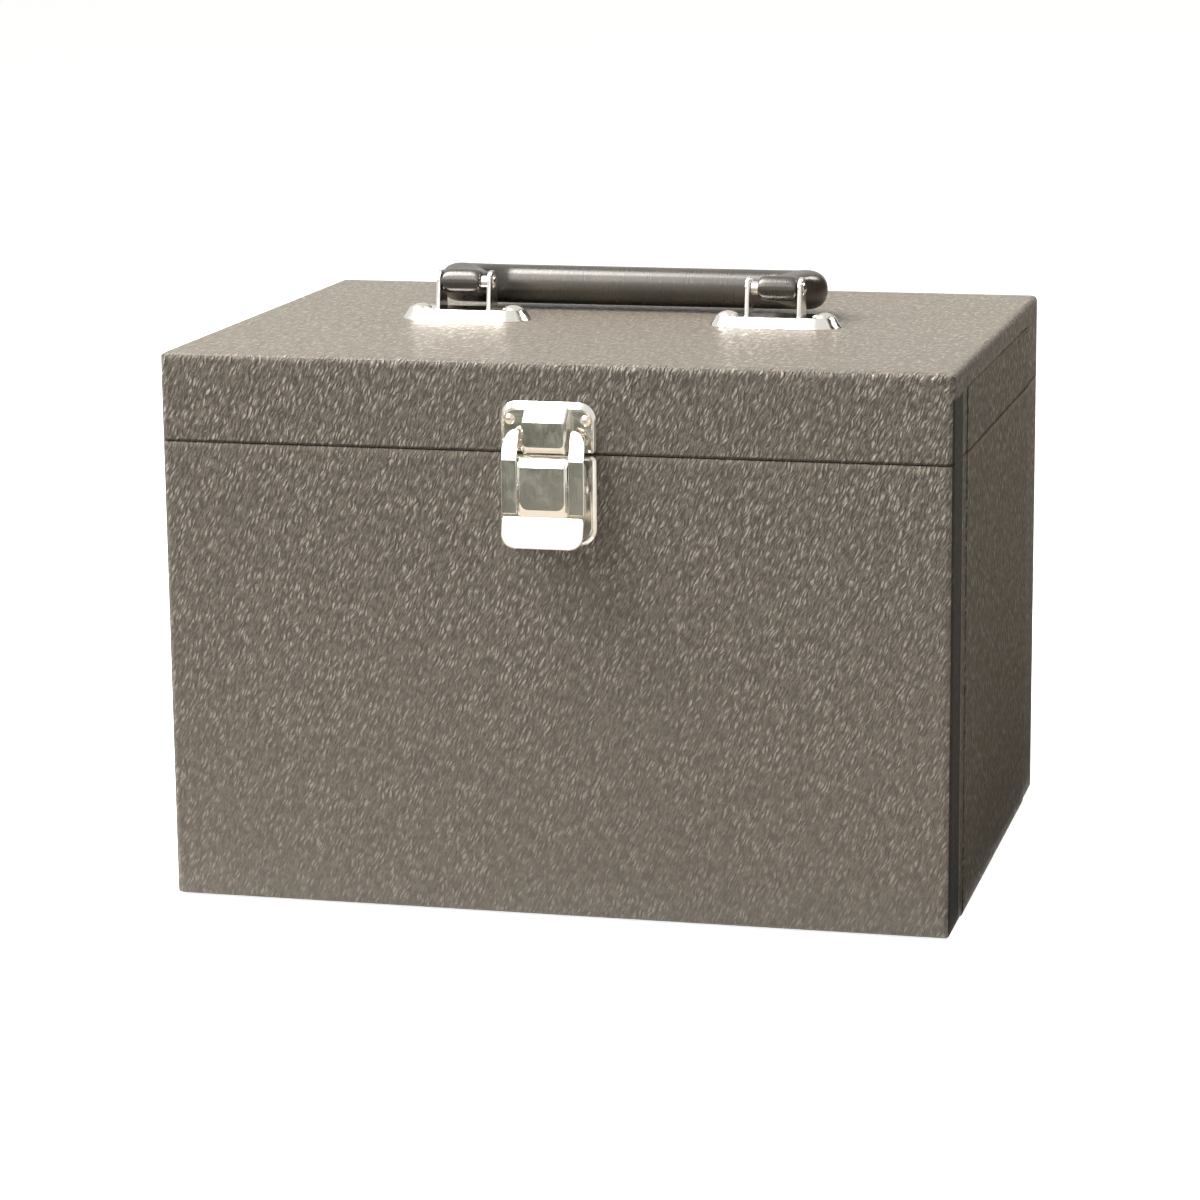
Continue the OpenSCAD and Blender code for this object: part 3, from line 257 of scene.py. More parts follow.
def leathercloth(name, base, returns=False, dark=0.36, pale=1.7, shine=0.6):
    """Embossed leathercloth, with painted shade in its creases and painted glints on its crests.

    returns adds darker strips on the sides behind the front corners, with a painted edge highlight beside
    them. dark and pale are how bright the painted crease shade and the painted crest glints are against the
    base colour, and shine is the specular level.
    """
    s = Shader(name)
    across, up, side, top, (x, y, z) = sheet_coords(s)
    raised, plane = embossing(s, across, up)
    # The grain's relief, and its painted glints and crease shade, are halved on the lid and fade towards the
    # foot, as painted light that is stronger near the top
    relief_and_glints = s.times(s.step(top, 0.0, 1.0, 1.0, 0.5), s.step(z, 0.0, 190.0, 0.55, 1.04))
    contrast = s.times(relief_and_glints, 0.9)
    # Painted shade in the creases and painted glints on the crests, put into the colour
    crease = s.step(raised, 0.42, 0.16)
    crest = s.step(raised, 0.6, 0.9)
    color = s.mix(s.times(crease, contrast), base, shade(base, dark))
    color = s.mix(s.times(crest, contrast), color, tuple(c + 0.2 for c in shade(base, pale)))
    mottled = s.noise(s.mapped((46, 46, 46)), detail=3.0)
    color = s.mix(s.step(mottled, 0.35, 0.68, 0.0, 0.2), color, shade(base, 0.8))
    # The lid's top is painted a little paler: a painted sheen where the light falls on it
    color = s.mix(s.times(top, 0.08), color, LID_PAINTED_SHEEN)
    # Grains gather in paler and darker patches a few millimetres wide
    gather = stretched(s, plane, PALE_PATCHES, 2.5, 0.6)
    color = s.mix(s.step(gather, 0.5, 0.28, 0.0, 0.35), color, shade(base, 0.5))
    color = s.mix(s.step(gather, 0.5, 0.72, 0.0, 0.25), color, shade(base, 1.9))
    # Paler spots on the edges: partly wear, partly a painted highlight
    color = s.mix(s.times(rubbed_and_lit_edges(s, x, y, z), 0.6), color, shade(base, 1.9))
    # The sheet is turned in at the seam: painted shade under the lid's edge, which faces down, and a painted
    # highlight on the body's edge
    lid_edge_shade = s.times(s.math("GREATER_THAN", z, SEAM_Z), s.step(z, SEAM_Z + 1.3, SEAM_Z + 0.7))
    body_edge_highlight = s.times(s.step(z, SEAM_Z - 2.6, SEAM_Z - 1.2), s.step(z, SEAM_Z - 0.3, SEAM_Z - 0.6))
    color = s.mix(s.times(lid_edge_shade, 0.9), color, SEAM_PAINTED_SHADE)
    color = s.mix(s.times(body_edge_highlight, 0.3), color, shade(base, 2.0))
    rough = s.plus(s.step(crest, 0.0, 1.0, 0.5, 0.28), s.times(lid_edge_shade, 0.4))
    height = s.times(raised, relief_and_glints)
    if returns:
        dark_strip, painted_edge_highlight = dark_corner_strips(s, side, y, z)
        color = s.mix(s.times(dark_strip, 0.95), color, shade(base, 0.1))
        rough = s.plus(rough, s.times(dark_strip, 0.4))
        height = s.times(height, s.step(dark_strip, 0.0, 1.0, 1.0, 0.4))
        # A pale line beside the strip: a painted highlight of a raised edge
        color = s.mix(s.times(painted_edge_highlight, 0.35), color, shade(base, 2.0))
    return s.finish(Base_Color=color, Roughness=rough, IOR=1.5, Normal=s.bump(height, GRAIN_DEPTH),
        Specular_IOR_Level=shine)


# The other materials

def velvet(name, base):
    """Short red pile with a soft nap that was brushed this way and that."""
    s = Shader(name)
    nap = s.noise(s.mapped((19, 26, 22)), detail=3.0, rough=0.55, distortion=0.25)
    pile = s.noise(s.mapped((0.35, 0.35, 0.35)), rough=0.7)
    color = s.mix(s.step(nap, 0.32, 0.7), shade(base, 0.74), shade(base, 1.2))
    color = s.mix(s.step(pile, 0.3, 0.75, 0.0, 0.45), color, shade(base, 0.35))
    normal = s.bump(pile, 0.25, 0.7, s.bump(nap, 0.8, 0.35))
    return s.finish(Base_Color=color, Roughness=0.88, Sheen_Weight=0.7, Sheen_Roughness=0.35,
        Sheen_Tint=(0.9, 0.32, 0.36), Normal=normal, Specular_IOR_Level=0.25)


def nickel(name, base=(0.93, 0.905, 0.86), rough=(0.06, 0.24)):
    """Bright nickel plate with faint polishing lines, smears and a few dull spots."""
    s = Shader(name)
    lines = s.noise(s.mapped((0.5, 0.5, 9.0), (0, math.radians(20), 0)), detail=3.0, rough=0.65)
    smear = s.noise(s.mapped((6, 6, 10)), detail=4.0, rough=0.6, distortion=0.8)
    spots = s.step(s.noise(s.mapped((1.3, 1.3, 1.3))), 0.62, 0.74)
    warm = tuple(c * k for c, k in zip(base, (0.97, 0.95, 0.91)))
    color = s.mix(s.step(smear, 0.3, 0.75, 0.0, 0.55), base, warm)
    color = s.mix(s.times(spots, 0.2), color, shade(base, 0.75))
    roughness = s.plus(s.step(smear, 0.3, 0.75, *rough), s.times(lines, 0.06))
    normal = s.bump(s.plus(lines, s.times(smear, 3.0)), 0.02, 0.6)
    return s.finish(Base_Color=color, Metallic=1.0, Roughness=roughness, Normal=normal)


def glossy_grip(name):
    """Very dark brown handle: satin, with a fine crosswise grain that breaks the highlight up."""
    s = Shader(name)
    ribs = s.noise(s.mapped((0.7, 9.0, 9.0)), detail=3.0, rough=0.65)
    pores = s.noise(s.mapped((1.5, 1.5, 1.5)), detail=3.0, rough=0.65)
    patches = s.noise(s.mapped((18, 12, 12)))
    color = s.mix(s.step(patches, 0.35, 0.7), (0.03, 0.023, 0.0145), (0.05, 0.038, 0.0245))
    color = s.mix(s.times(s.step(pores, 0.5, 0.72), 0.35), color, (0.012, 0.009, 0.0065))
    normal = s.bump(s.plus(ribs, s.times(pores, 0.4)), 0.03, 0.6)
    return s.finish(Base_Color=color, Roughness=s.step(ribs, 0.3, 0.7, 0.26, 0.35), IOR=1.5,
        Normal=normal, Specular_IOR_Level=1.0)


def plywood(name):
    """Pale plywood, with its grain along X."""
    s = Shader(name)
    rings = s.node("ShaderNodeTexWave", {"Vector": s.mapped((140, 9, 9)), "Scale": 1.4, "Distortion": 5.0,
        "Detail": 3.0, "Detail Scale": 1.2}, bands_direction="DIAGONAL").outputs[1]
    fibre = s.noise(s.mapped((30, 0.7, 0.7)), detail=3.0)
    color = s.mix(s.step(rings, 0.2, 0.9), (0.5, 0.33, 0.18), (0.66, 0.48, 0.3))
    color = s.mix(s.step(fibre, 0.4, 0.75, 0.0, 0.5), color, (0.38, 0.24, 0.13))
    return s.finish(Base_Color=color, Roughness=0.7, Normal=s.bump(fibre, 0.1, 0.5))


LEATHER = leathercloth("leathercloth", (0.165, 0.143, 0.113), returns=True)
# The sides' copy is painted a little darker as painted shade, with stronger painted crease shade and crest
# glints
LEATHER_SIDE_SHADED = leathercloth("leathercloth_side", (0.156, 0.132, 0.1), dark=0.22, pale=1.85, shine=0.4)
LEATHER_BASE = leathercloth("leathercloth_base", (0.13, 0.113, 0.09))
VELVET_BOARD = velvet("velvet_board", (0.26, 0.008, 0.018))
VELVET_PAD = velvet("velvet_padding", (0.28, 0.009, 0.02))
NICKEL = nickel("nickel")
NICKEL_PLATE = nickel("nickel_plate", rough=(0.12, 0.26))
RIVET = nickel("nickel_rivet", (0.87, 0.82, 0.72), (0.16, 0.3))
PIN = nickel("pin_steel", (0.9, 0.88, 0.83), (0.1, 0.22))
GRIP = glossy_grip("grip")
WOOD = plywood("wood")


# Mesh helpers

def placed(name, data):
    """A new object in the scene."""
    obj = bpy.data.objects.new(name, data)
    bpy.context.scene.collection.objects.link(obj)
    return obj


def carried(obj, body, node):
    """Makes a piece ride on a body in place of a CAD node."""
    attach(obj, body)
    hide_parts(node)
    return obj


def add_modifier(obj, kind, **props):
    m = obj.modifiers.new(kind.lower(), kind)
    for key, value in props.items():
        setattr(m, key, value)


def weld(obj):
    add_modifier(obj, "WELD", merge_threshold=1e-6)


def soften(obj, width_mm, segments=2, angle=28):
    """Rounds the edges sharper than the angle and keeps the flat faces flat."""
    add_modifier(obj, "BEVEL", width=width_mm * MM, segments=segments, limit_method="ANGLE",
        angle_limit=math.radians(angle), miter_outer="MITER_ARC", use_clamp_overlap=True)
    add_modifier(obj, "WEIGHTED_NORMAL", keep_sharp=False, weight=80)


def apply_modifiers(obj):
    deps = bpy.context.evaluated_depsgraph_get()
    mesh = bpy.data.meshes.new_from_object(obj.evaluated_get(deps))
    obj.modifiers.clear()
    old = obj.data
    obj.data = mesh
    bpy.data.meshes.remove(old)
    smooth_faces(mesh)


def smooth_faces(mesh):
    mesh.polygons.foreach_set("use_smooth", [True] * len(mesh.polygons))


def cover(mesh, material):
    """Gives a CAD node's mesh, or a copy of one, a single material and smooth shading."""
    mesh.materials.clear()
    mesh.materials.append(material)
    stored = mesh.attributes.get("custom_normal")
    if stored:
        mesh.attributes.remove(stored)
    smooth_faces(mesh)


def dress(node, material, width_mm=0.2, segments=2, angle=28):
    """Gives a CAD node its finish and soft edges."""
    obj = NODES[node]
    cover(obj.data, material)
    weld(obj)
    soften(obj, width_mm, segments, angle)


def soft_copy(node, name, body, material):
    """A new piece with the shape of a CAD node that it replaces."""
    mesh = NODES[node].data.copy()
    cover(mesh, material)
    obj = carried(placed(name, mesh), body, node)
    weld(obj)
    return obj


class Form:
    """Points and faces of one piece, in millimetres."""

    def __init__(self):
        self.points, self.faces = [], []

    def add(self, points, faces):
        start = len(self.points)
        self.points += [tuple(p) for p in points]
        self.faces += [[start + i for i in f] for f in faces]

    def loft(self, rings, first=True, last=True, skip=()):
        """Faces between rings of equally many points; skip names points whose side faces are left open."""
        n = len(rings[0])
        faces = [[j * n + i, j * n + (i + 1) % n, (j + 1) * n + (i + 1) % n, (j + 1) * n + i]
            for j in range(len(rings) - 1) for i in range(n) if i not in skip]
        if first:
            faces.append(list(range(n))[::-1])
        if last:
            faces.append([(len(rings) - 1) * n + i for i in range(n)])
        self.add([p for r in rings for p in r], faces)

    def along_x(self, outline, x0, x1):
        """Prism of an outline of (y, z) points between two places along X."""
        self.loft([[(x, y, z) for y, z in outline] for x in (x0, x1)])

    def make(self, name, body, material, node, slot):
        """The piece, riding on a body in place of a CAD node."""
        mesh = bpy.data.meshes.new(name)
        mesh.from_pydata([Vector(p) * MM for p in self.points], [], self.faces)
        bm = bmesh.new()
        bm.from_mesh(mesh)
        bmesh.ops.recalc_face_normals(bm, faces=bm.faces)
        bm.to_mesh(mesh)
        bm.free()
        smooth_faces(mesh)
        mesh.materials.append(material)
        return carried(placed(name, mesh), body, node)


def rounded(half_x, z0, z1, low_r, high_r, out, steps=6):
    """Rounded rectangle in X and Z that stands out from the case's face by out.

    out is a number or a function of z; low_r and high_r round its lower and upper corners.
    """
    turns = [(half_x, z0, -1, 1, low_r, -90), (half_x, z1, -1, -1, high_r, 0),
        (-half_x, z1, 1, -1, high_r, 90), (-half_x, z0, 1, 1, low_r, 180)]
    ring = []
    for corner_x, corner_z, to_x, to_z, r, start in turns:
        for k in range(steps + 1):
            a = math.radians(start + 90 * k / steps)
            x = corner_x + to_x * r + r * math.cos(a)
            z = corner_z + to_z * r + r * math.sin(a)
            ring.append((x, FACE_Y - (out(z) if callable(out) else out), z))
    return ring


# Covering, wood and lining

def dress_case():
    for node in ("front_cover", "back_cover"):
        dress(node, LEATHER, 0.45, 3)
    dress("lid_cover", LEATHER, 0.38, 3)
    for node in ("left_cover", "right_cover", "lid_left_cover", "lid_right_cover"):
        dress(node, LEATHER_SIDE_SHADED, 0.38, 3)
    dress("bottom_cover", LEATHER_BASE, 0.25)
    for node in NODES:
        if node.endswith(("_panel", "_rail")):
            dress(node, WOOD, 0.15, 1)


def lining():
    for wall in ("front", "back", "left", "right"):
        for body, node in (("case", wall + "_liner"), ("lid", "lid_" + wall + "_liner")):
            soften(soft_copy(node, node + "_velvet", body, VELVET_BOARD), 1.1, 4)


def cradle():
    """Padded blocks: the CAD blocks with their edges and bays rounded as the wadding rounds them."""
    for block in ("foot_block", "stem_block", "cup_block", "paten_block"):
        obj = soft_copy(block, block.replace("block", "cradle"), "case", VELVET_PAD)
        add_modifier(obj, "REMESH", mode="VOXEL", voxel_size=2.2 * MM, use_smooth_shade=True)
        add_modifier(obj, "SMOOTH", factor=0.6, iterations=9)


dress_case()
lining()
cradle()


# Lid pad, in millimetres: the cushion, and the space between the lid's liners that holds it
PAD_HALF_X, PAD_HALF_Y = 139.4, 100.9
PAD_TOP, PAD_EDGE, PAD_CROWN = 207.1, 6.0, 3.85
PAD_SPACE = ((-139.9, 139.9), (-101.4, 101.4), (192.6, 207.2))
PUFF_LIMIT = 5.0
BOARD_THICK = 2.9


def cushion_form(nx=70, ny=50):
    """A crowned cushion whose sides draw in between its corners, flat against the ceiling."""
    lower = []
    for j in range(ny + 1):
        for i in range(nx + 1):
            u, v = 2 * i / nx - 1, 2 * j / ny - 1
            draw = 0.8 * math.cos(2 * math.atan2(v, u)) ** 4
            crown = PAD_CROWN * (1 - u ** 4) * (1 - v ** 4)
            # The rim itself lies a little higher than the crowned face
            drop = PAD_EDGE - 1.2 if i in (0, nx) or j in (0, ny) else PAD_EDGE + crown
            lower.append((u * (PAD_HALF_X - draw), v * (PAD_HALF_Y - draw), PAD_TOP - drop))
    upper = [(x, y, PAD_TOP) for x, y, _ in lower]
    n = nx + 1
    faces = [[j * n + i, j * n + i + 1, (j + 1) * n + i + 1, (j + 1) * n + i]
        for j in range(ny) for i in range(nx)]
    count = len(lower)
    ceiling = [[count + i for i in f][::-1] for f in faces]
    rim = list(range(n)) + [j * n + nx for j in range(1, ny + 1)] \
        + [ny * n + i for i in range(nx - 1, -1, -1)] + [j * n for j in range(ny - 1, 0, -1)]
    walls = [[a, b, count + b, count + a] for a, b in zip(rim, rim[1:] + rim[:1])]
    form = Form()
    form.add(lower + upper, faces + ceiling + walls)
    return form


def puff_up(obj):
    """Blows the cushion up as cloth, held at the ceiling, by no more than the limit."""
    start = [v.co.copy() for v in obj.data.vertices]
    group = obj.vertex_groups.new(name="held")
    group.add([v.index for v in obj.data.vertices if v.co.z > (PAD_TOP - 1.5) * MM], 1.0, "REPLACE")
    cloth = obj.modifiers.new("cloth", "CLOTH")
    cloth.settings.quality = 6
    cloth.settings.mass = 0.3
    cloth.settings.tension_stiffness = 12
    cloth.settings.compression_stiffness = 12
    cloth.settings.bending_stiffness = 0.4
    cloth.settings.use_pressure = True
    cloth.settings.uniform_pressure_force = 3.5
    cloth.settings.vertex_group_mass = "held"
    cloth.settings.effector_weights.gravity = 0
    cloth.collision_settings.use_collision = False
    for step in range(1, 16):
        bpy.context.scene.frame_set(step)
    apply_modifiers(obj)
    limit = PUFF_LIMIT * MM
    for v, p in zip(obj.data.vertices, start):
        move = v.co - p
        if move.length > limit:
            v.co = p + move.normalized() * limit
        v.co = [max(low * MM, min(high * MM, c)) for c, (low, high) in zip(v.co, PAD_SPACE)]
    bpy.context.scene.frame_set(1)


def lid_cushion():
    """The cushion inside the lid."""
    cushion = cushion_form().make("lid_pad_cushion", "lid", VELVET_PAD, "lid_pad", "velvet_padding")
    add_modifier(cushion, "REMESH", mode="VOXEL", voxel_size=4.5 * MM, use_smooth_shade=True)
    apply_modifiers(cushion)
    puff_up(cushion)
    add_modifier(cushion, "SUBSURF", levels=1, render_levels=1)


def lid_board():
    """The covered board that the cushion is sewn to. It closes the gap at the lid's liners."""
    form = Form()
    (x0, x1), (y0, y1), _ = PAD_SPACE
    form.loft([[(x0, y0, z), (x1, y0, z), (x1, y1, z), (x0, y1, z)]
        for z in (PAD_TOP - BOARD_THICK, PAD_TOP)])
    soften(form.make("lid_pad_board", "lid", VELVET_BOARD, "lid_pad", "velvet_padding"), 0.8, 3)


lid_cushion()
lid_board()


# Hinges, brackets and fasteners

def dress_fittings():
    for node in NODES:
        if "_hinge_" in node and node.endswith("_leaf"):
            dress(node, NICKEL_PLATE, 0.18)
        elif node.endswith(("_pin", "_bush")):
            dress(node, PIN, 0.12)
        elif node.endswith("_rivets"):
            dress(node, RIVET, 0.1, 2, 35)
        elif node.endswith("_handle_bracket"):
            dress(node, NICKEL, 0.22)


dress_fittings()


# Latch, in millimetres
PLATE_HALF_W = corners("keeper")[1][0]
KEEPER_LOW, KEEPER_TOP = (corner[2] for corner in corners("keeper"))
BASE_LOW, BASE_TOP = (corner[2] for corner in corners("latch_base"))

LIP_LOW, LIP_TOP = 145.8, 157.4

# How far a plate's outline stands out at its back, its edge, both sides of its rim, and its sunk face
PLATE_STEPS = (0, 0.4, 1.6, 1.6, 0.95)


def plate(low, top, insets, steps):
    """A pressed plate with a chamfered rim round a sunk face.

    Each inset is taken off at the sides, top and foot, and gives the radii of the lower and upper corners.
    """
    form = Form()
    form.loft([rounded(PLATE_HALF_W - side, low + at_foot, top - at_top, low_r, high_r, out, steps)
        for (side, at_top, at_foot, low_r, high_r), out in zip(insets, PLATE_STEPS)])
    return form


def keeper_plate():
    form = plate(KEEPER_LOW + 0.1, KEEPER_TOP, [(0, 0, 0, 1.5, 6.5), (0, 0, 0, 1.5, 6.5),
        (0.8, 2.3, 0.5, 1.2, 5.2), (1.1, 2.7, 0.8, 1.0, 4.9), (1.7, 3.3, 1.3, 0.8, 4.4)], 6)
    # Two lugs that the link's arms pull on
    root, reach, sheet = FACE_Y - 0.8, FACE_Y - 4.0, 0.8
    low, shelf, high = 183.8, 184.8, 187.4
    lug = [(root, low), (reach, low), (reach, high), (reach + sheet, high), (reach + sheet, shelf),
        (root, shelf)]
    for x0, x1 in ((-15.0, -10.6), (10.6, 15.0)):
        form.along_x(lug, x0, x1)
    soften(form.make("keeper_plate", "lid", NICKEL, "keeper", "nickel"), 0.16)


def keeper_boss():
    """The box-like boss in the middle of the keeper, pressed from thin sheet."""
    corner_steps = 5
    rings = [rounded(8.75, KEEPER_LOW, 198.6, 0.3, 1.6, 0.7, corner_steps),
        rounded(8.6, 180.5, 193.6, 1.6, 1.2, 6.5, corner_steps),
        rounded(7.75, 183.4, 192.7, 1.7, 0.5, 8.0, corner_steps)]
    # Its foot is open between the two lower corners
    foot = len(rings[0]) - 1
    form = Form()
    form.loft(rings[:2], False, False, skip=(foot,))
    form.loft(rings[1:], False, True)
    obj = form.make("keeper_boss", "lid", NICKEL, "keeper", "nickel")
    weld(obj)
    add_modifier(obj, "SOLIDIFY", thickness=0.7 * MM, offset=-1)
    soften(obj, 0.3, 3, 20)


def latch_plate():
    form = plate(BASE_LOW, BASE_TOP, [(0, 0, 0, 7, 2), (0, 0, 0, 7, 2), (1.1, 0.7, 1.3, 5.9, 1.4),
        (1.4, 1.0, 1.6, 5.7, 1.2), (2.1, 1.7, 2.4, 5.2, 0.9)], 8)
    # Two ears, round about the lever's pin
    root, ear_r, sheet = FACE_Y - 0.6, 2.6, 1.0
    angles = [math.radians(135 + 225 * k / 14) for k in range(15)]
    tip = [(LEVER_PIN_Y + ear_r * math.cos(a), LEVER_PIN_Z + ear_r * math.sin(a)) for a in angles]
    ear = [(root, 169.8), (LEVER_PIN_Y, 172.0)] + [p for p in tip if p[0] < LEVER_PIN_Y + 0.6] \
        + [(-117.7, 175.3), (-117.0, 174.0), (root, 174.0)]
    for x in (-8.4, 7.4):
        form.along_x(ear, x, x + sheet)
    soften(form.make("latch_plate", "case", NICKEL_PLATE, "latch_base", "nickel"), 0.16)


def lever_panel():
    """The raised panel on the lever's front."""
    bend_z, top_z = 176.6, 179.1

    def skirt(z):
        """The panel's edge leans back above the bend."""
        return 9.3 - max(0.0, z - bend_z) / (top_z - bend_z) * 1.4

    form = Form()
    form.loft([rounded(9.6, LIP_TOP, top_z, 1.6, 0.8, skirt, 7),
        rounded(8.45, 160.2, 176.2, 3.0, 0.5, 10.4, 7)], False, True)
    obj = form.make("lever_panel", "lever", NICKEL, "latch_lever", "nickel")
    add_modifier(obj, "SOLIDIFY", thickness=0.8 * MM, offset=-1)
    soften(obj, 0.28, 3, 16)


def lever_lip():
    """The lever's flared lip, with the walls of the channel behind the panel."""

    def flare(z, behind):
        """The lip leans out towards its foot."""
        t = max(0.0, min(1.0, (LIP_TOP - z) / (LIP_TOP - LIP_LOW)))
        return 9.45 + 2.75 * t ** 0.85 - behind

    form = Form()
    wall = [(-121.9, 178.9), (-124.0, 176.1), (-124.0, 160.3), (-123.4, 157.9), (-117.2, 166.2),
        (-116.45, 168.3), (-117.2, 175.2), (-118.8, 177.6)]
    for x in (-9.55, 8.75):
        form.along_x(wall, x, x + 0.8)
    # Outlines that shrink towards the lip's middle, once behind and once in front
    front, back = [], []
    middle_z, half_h, half_w = 151.6, 5.75, 15.75
    for share in (1.0, 0.985, 0.9, 0.75, 0.5, 0.25):
        size = (half_w - half_h * (1 - share), middle_z - half_h * share, middle_z + half_h * share,
            5.2 * share, 1.3 * share)
        rim = 0.16 if share == 1.0 else 0.0
        front.append(rounded(*size, lambda z: flare(z, rim), 8))
        back.append(rounded(*size, lambda z: flare(z, 0.9), 8))
    form.loft(back[::-1] + front)
    soften(form.make("lever_lip", "lever", NICKEL, "latch_lever", "nickel"), 0.14, 2, 40)


def link_arm(form, s, front_y, bend_z, top_z, low_z):
    """One of the link's arms, bent back at bend_z, with its skirt; s is -1 at the left, 1 at the right."""
    inner_x, outer_x = s * 9.9, s * 15.85
    shoulder_z, round_x = 182.6, 4.4
    round_z = top_z - shoulder_z
    arm = [(outer_x, bend_z), (outer_x, shoulder_z)]
    # The outer top corner is cut round
    for k in range(1, 9):
        a = math.radians(90 * k / 8)
        arm.append((outer_x - s * round_x * (1 - math.cos(a)), shoulder_z + round_z * math.sin(a)))
    arm += [(inner_x + s * 0.6, top_z), (inner_x, top_z - 0.7), (inner_x, bend_z)]
    outline = [(inner_x, low_z), (outer_x, low_z)] + arm
    n = len(outline)
    front = [(x, front_y(z), z) for x, z in outline]
    back = [(x, front_y(z) + 0.9, z) for x, z in outline]
    faces = [[i, (i + 1) % n, n + (i + 1) % n, n + i] for i in range(n)]
    # A face below the bend and one above it, in front and behind
    for start in (0, n):
        faces += [[start, start + 1, start + 2, start + n - 1], [start + i for i in range(2, n)]]
    form.add(front + back, faces)
    skirt = [(-123.4, low_z), (-116.6, low_z), (-116.6, 170.4), (-119.2, 176.7), (-122.9, 178.1),
        (-123.4, 177.5)]
    form.along_x(skirt, *sorted((s * 14.95, s * 15.75)))


def link_frame():
    bend_z, top_z, low_z = 178.7, 189.5, 158.4

    def front_y(z):
        return FACE_Y - 9.6 + max(0.0, z - bend_z) / (top_z - bend_z) * 4.2

    form = Form()
    for s in (-1, 1):
        link_arm(form, s, front_y, bend_z, top_z, low_z)
    # The bar that joins the arms behind the lever
    form.loft([[(x, y, z) for y, z in ((-117.4, low_z), (-117.4, 162.5), (-116.6, 162.5), (-116.6, low_z))]
        for x in (-15.6, 15.6)])
    soften(form.make("link_frame", "link", NICKEL, "latch_link", "nickel"), 0.3, 3, 16)


keeper_plate()
keeper_boss()
latch_plate()
lever_panel()
lever_lip()
link_frame()


# Handle, in millimetres: it is drawn in the plane of its loop and then turned to droop behind its pins
DROOP = math.radians(-8)
TAB_X, TAB_HALF_W, TAB_R, TAB_END = 64.65, 8.15, 5.0, 6.6
LEG_X, BEND_R, REACH = 71.2, 18.0, 40.0
BAR_A, BAR_B = 8.6, 7.9
TAB_SQUARE, BAR_SQUARE = 5.0, 2.3

# One section of the handle: its middle, which way it heads in degrees, its half width and half thickness,
# and how square it is, from 2 for an ellipse upwards
Section = namedtuple("Section", "x away heading half_a half_b square")


def ease(u):
    return u * u * (3 - 2 * u)


def mix(a, b, u):
    return a + (b - a) * u


def half_handle():
    """Sections from the round end of the right tab up to the middle of the bar."""
    sections = []
    # The tab's round end, where the sections lie closer towards the tip
    for a in (5, 10, 17, 26, 36, 47, 58, 70, 80, 90):
        t = math.radians(a)
        sections.append(Section(TAB_X, -TAB_R * math.cos(t), 90, TAB_HALF_W - 0.9 * (1 - math.sin(t)),
            TAB_R * math.sin(t), TAB_SQUARE))
    # The neck grows wider and rounder between the tab and the bend
    leg_end = REACH - BEND_R
    for k in range(24):
        u = k / 24
        e = ease(u)
        slope = (LEG_X - TAB_X) * 6 * u * (1 - u) / (leg_end - TAB_END)
        heading = 90 - math.degrees(math.atan(slope))
        sections.append(Section(mix(TAB_X, LEG_X, e), mix(TAB_END, leg_end, u), heading,
            mix(TAB_HALF_W, BAR_A, e), mix(TAB_R, BAR_B, e), mix(TAB_SQUARE, BAR_SQUARE, e)))
    bend_x = LEG_X - BEND_R
    for k in range(20):
        a = 90 * k / 20
        t = math.radians(a)
        sections.append(Section(bend_x + BEND_R * math.cos(t), leg_end + BEND_R * math.sin(t), 90 + a,
            BAR_A, BAR_B, BAR_SQUARE))
    for k in range(16):
        sections.append(Section(mix(bend_x, 0, k / 16), REACH, 180, BAR_A, BAR_B, BAR_SQUARE))
    return sections


def section_ring(section, count=44):
    """Points round a section, drooped about the pins."""
    h = math.radians(section.heading)
    power = 2 / section.square
    ring = []
    for i in range(count):
        t = 2 * math.pi * i / count
        c, q = math.cos(t), math.sin(t)
        u = section.half_a * math.copysign(abs(c) ** power, c)
        up = section.half_b * math.copysign(abs(q) ** power, q)
        away = section.away - u * math.cos(h)
        ring.append((section.x + u * math.sin(h), away * math.cos(DROOP) - up * math.sin(DROOP),
            HANDLE_PIN_Z + away * math.sin(DROOP) + up * math.cos(DROOP)))
    return ring


def handle():
    """Swept grip: flat tabs between the ears, round necks and corners, and a straight oval bar."""
    half = half_handle()
    centre = Section(0, REACH, 180, BAR_A, BAR_B, BAR_SQUARE)
    other = [p._replace(x=-p.x, heading=360 - p.heading) for p in reversed(half)]
    form = Form()
    form.loft([section_ring(section) for section in half + [centre] + other])
    obj = form.make("handle_bar", "handle", GRIP, "handle_grip", "grip")
    add_modifier(obj, "WEIGHTED_NORMAL", keep_sharp=False, weight=50)


handle()


# Camera, light and floor: the camera's place is in millimetres, and the rest in metres
CAMERA_PLACE = (358.0, -1466.4, 419.1)
CAMERA_YAW, CAMERA_PITCH, CAMERA_ROLL = 13.14, 11.92, -0.37
UPPER_LEFT = (-0.74, -0.42, 0.52)


def camera():
    """The photograph's view, fitted to the edges of its box."""
    yaw, pitch, roll = (math.radians(a) for a in (CAMERA_YAW, CAMERA_PITCH, CAMERA_ROLL))
    forward = Vector((-math.sin(yaw) * math.cos(pitch), math.cos(yaw) * math.cos(pitch), -math.sin(pitch)))
    right = Vector((math.cos(yaw), math.sin(yaw), 0))
    up = right.cross(forward)
    right, up = (right * math.cos(roll) + up * math.sin(roll), up * math.cos(roll) - right * math.sin(roll))
    data = bpy.data.cameras.new("camera")
    data.sensor_width = 36
    data.lens = 114.18
    data.shift_x = -0.05
    data.clip_end = 50
    cam = placed("camera", data)
    turn = Matrix((right, up, -forward)).transposed().to_4x4()
    cam.matrix_world = Matrix.Translation(Vector(CAMERA_PLACE) * MM) @ turn
    bpy.context.scene.camera = cam


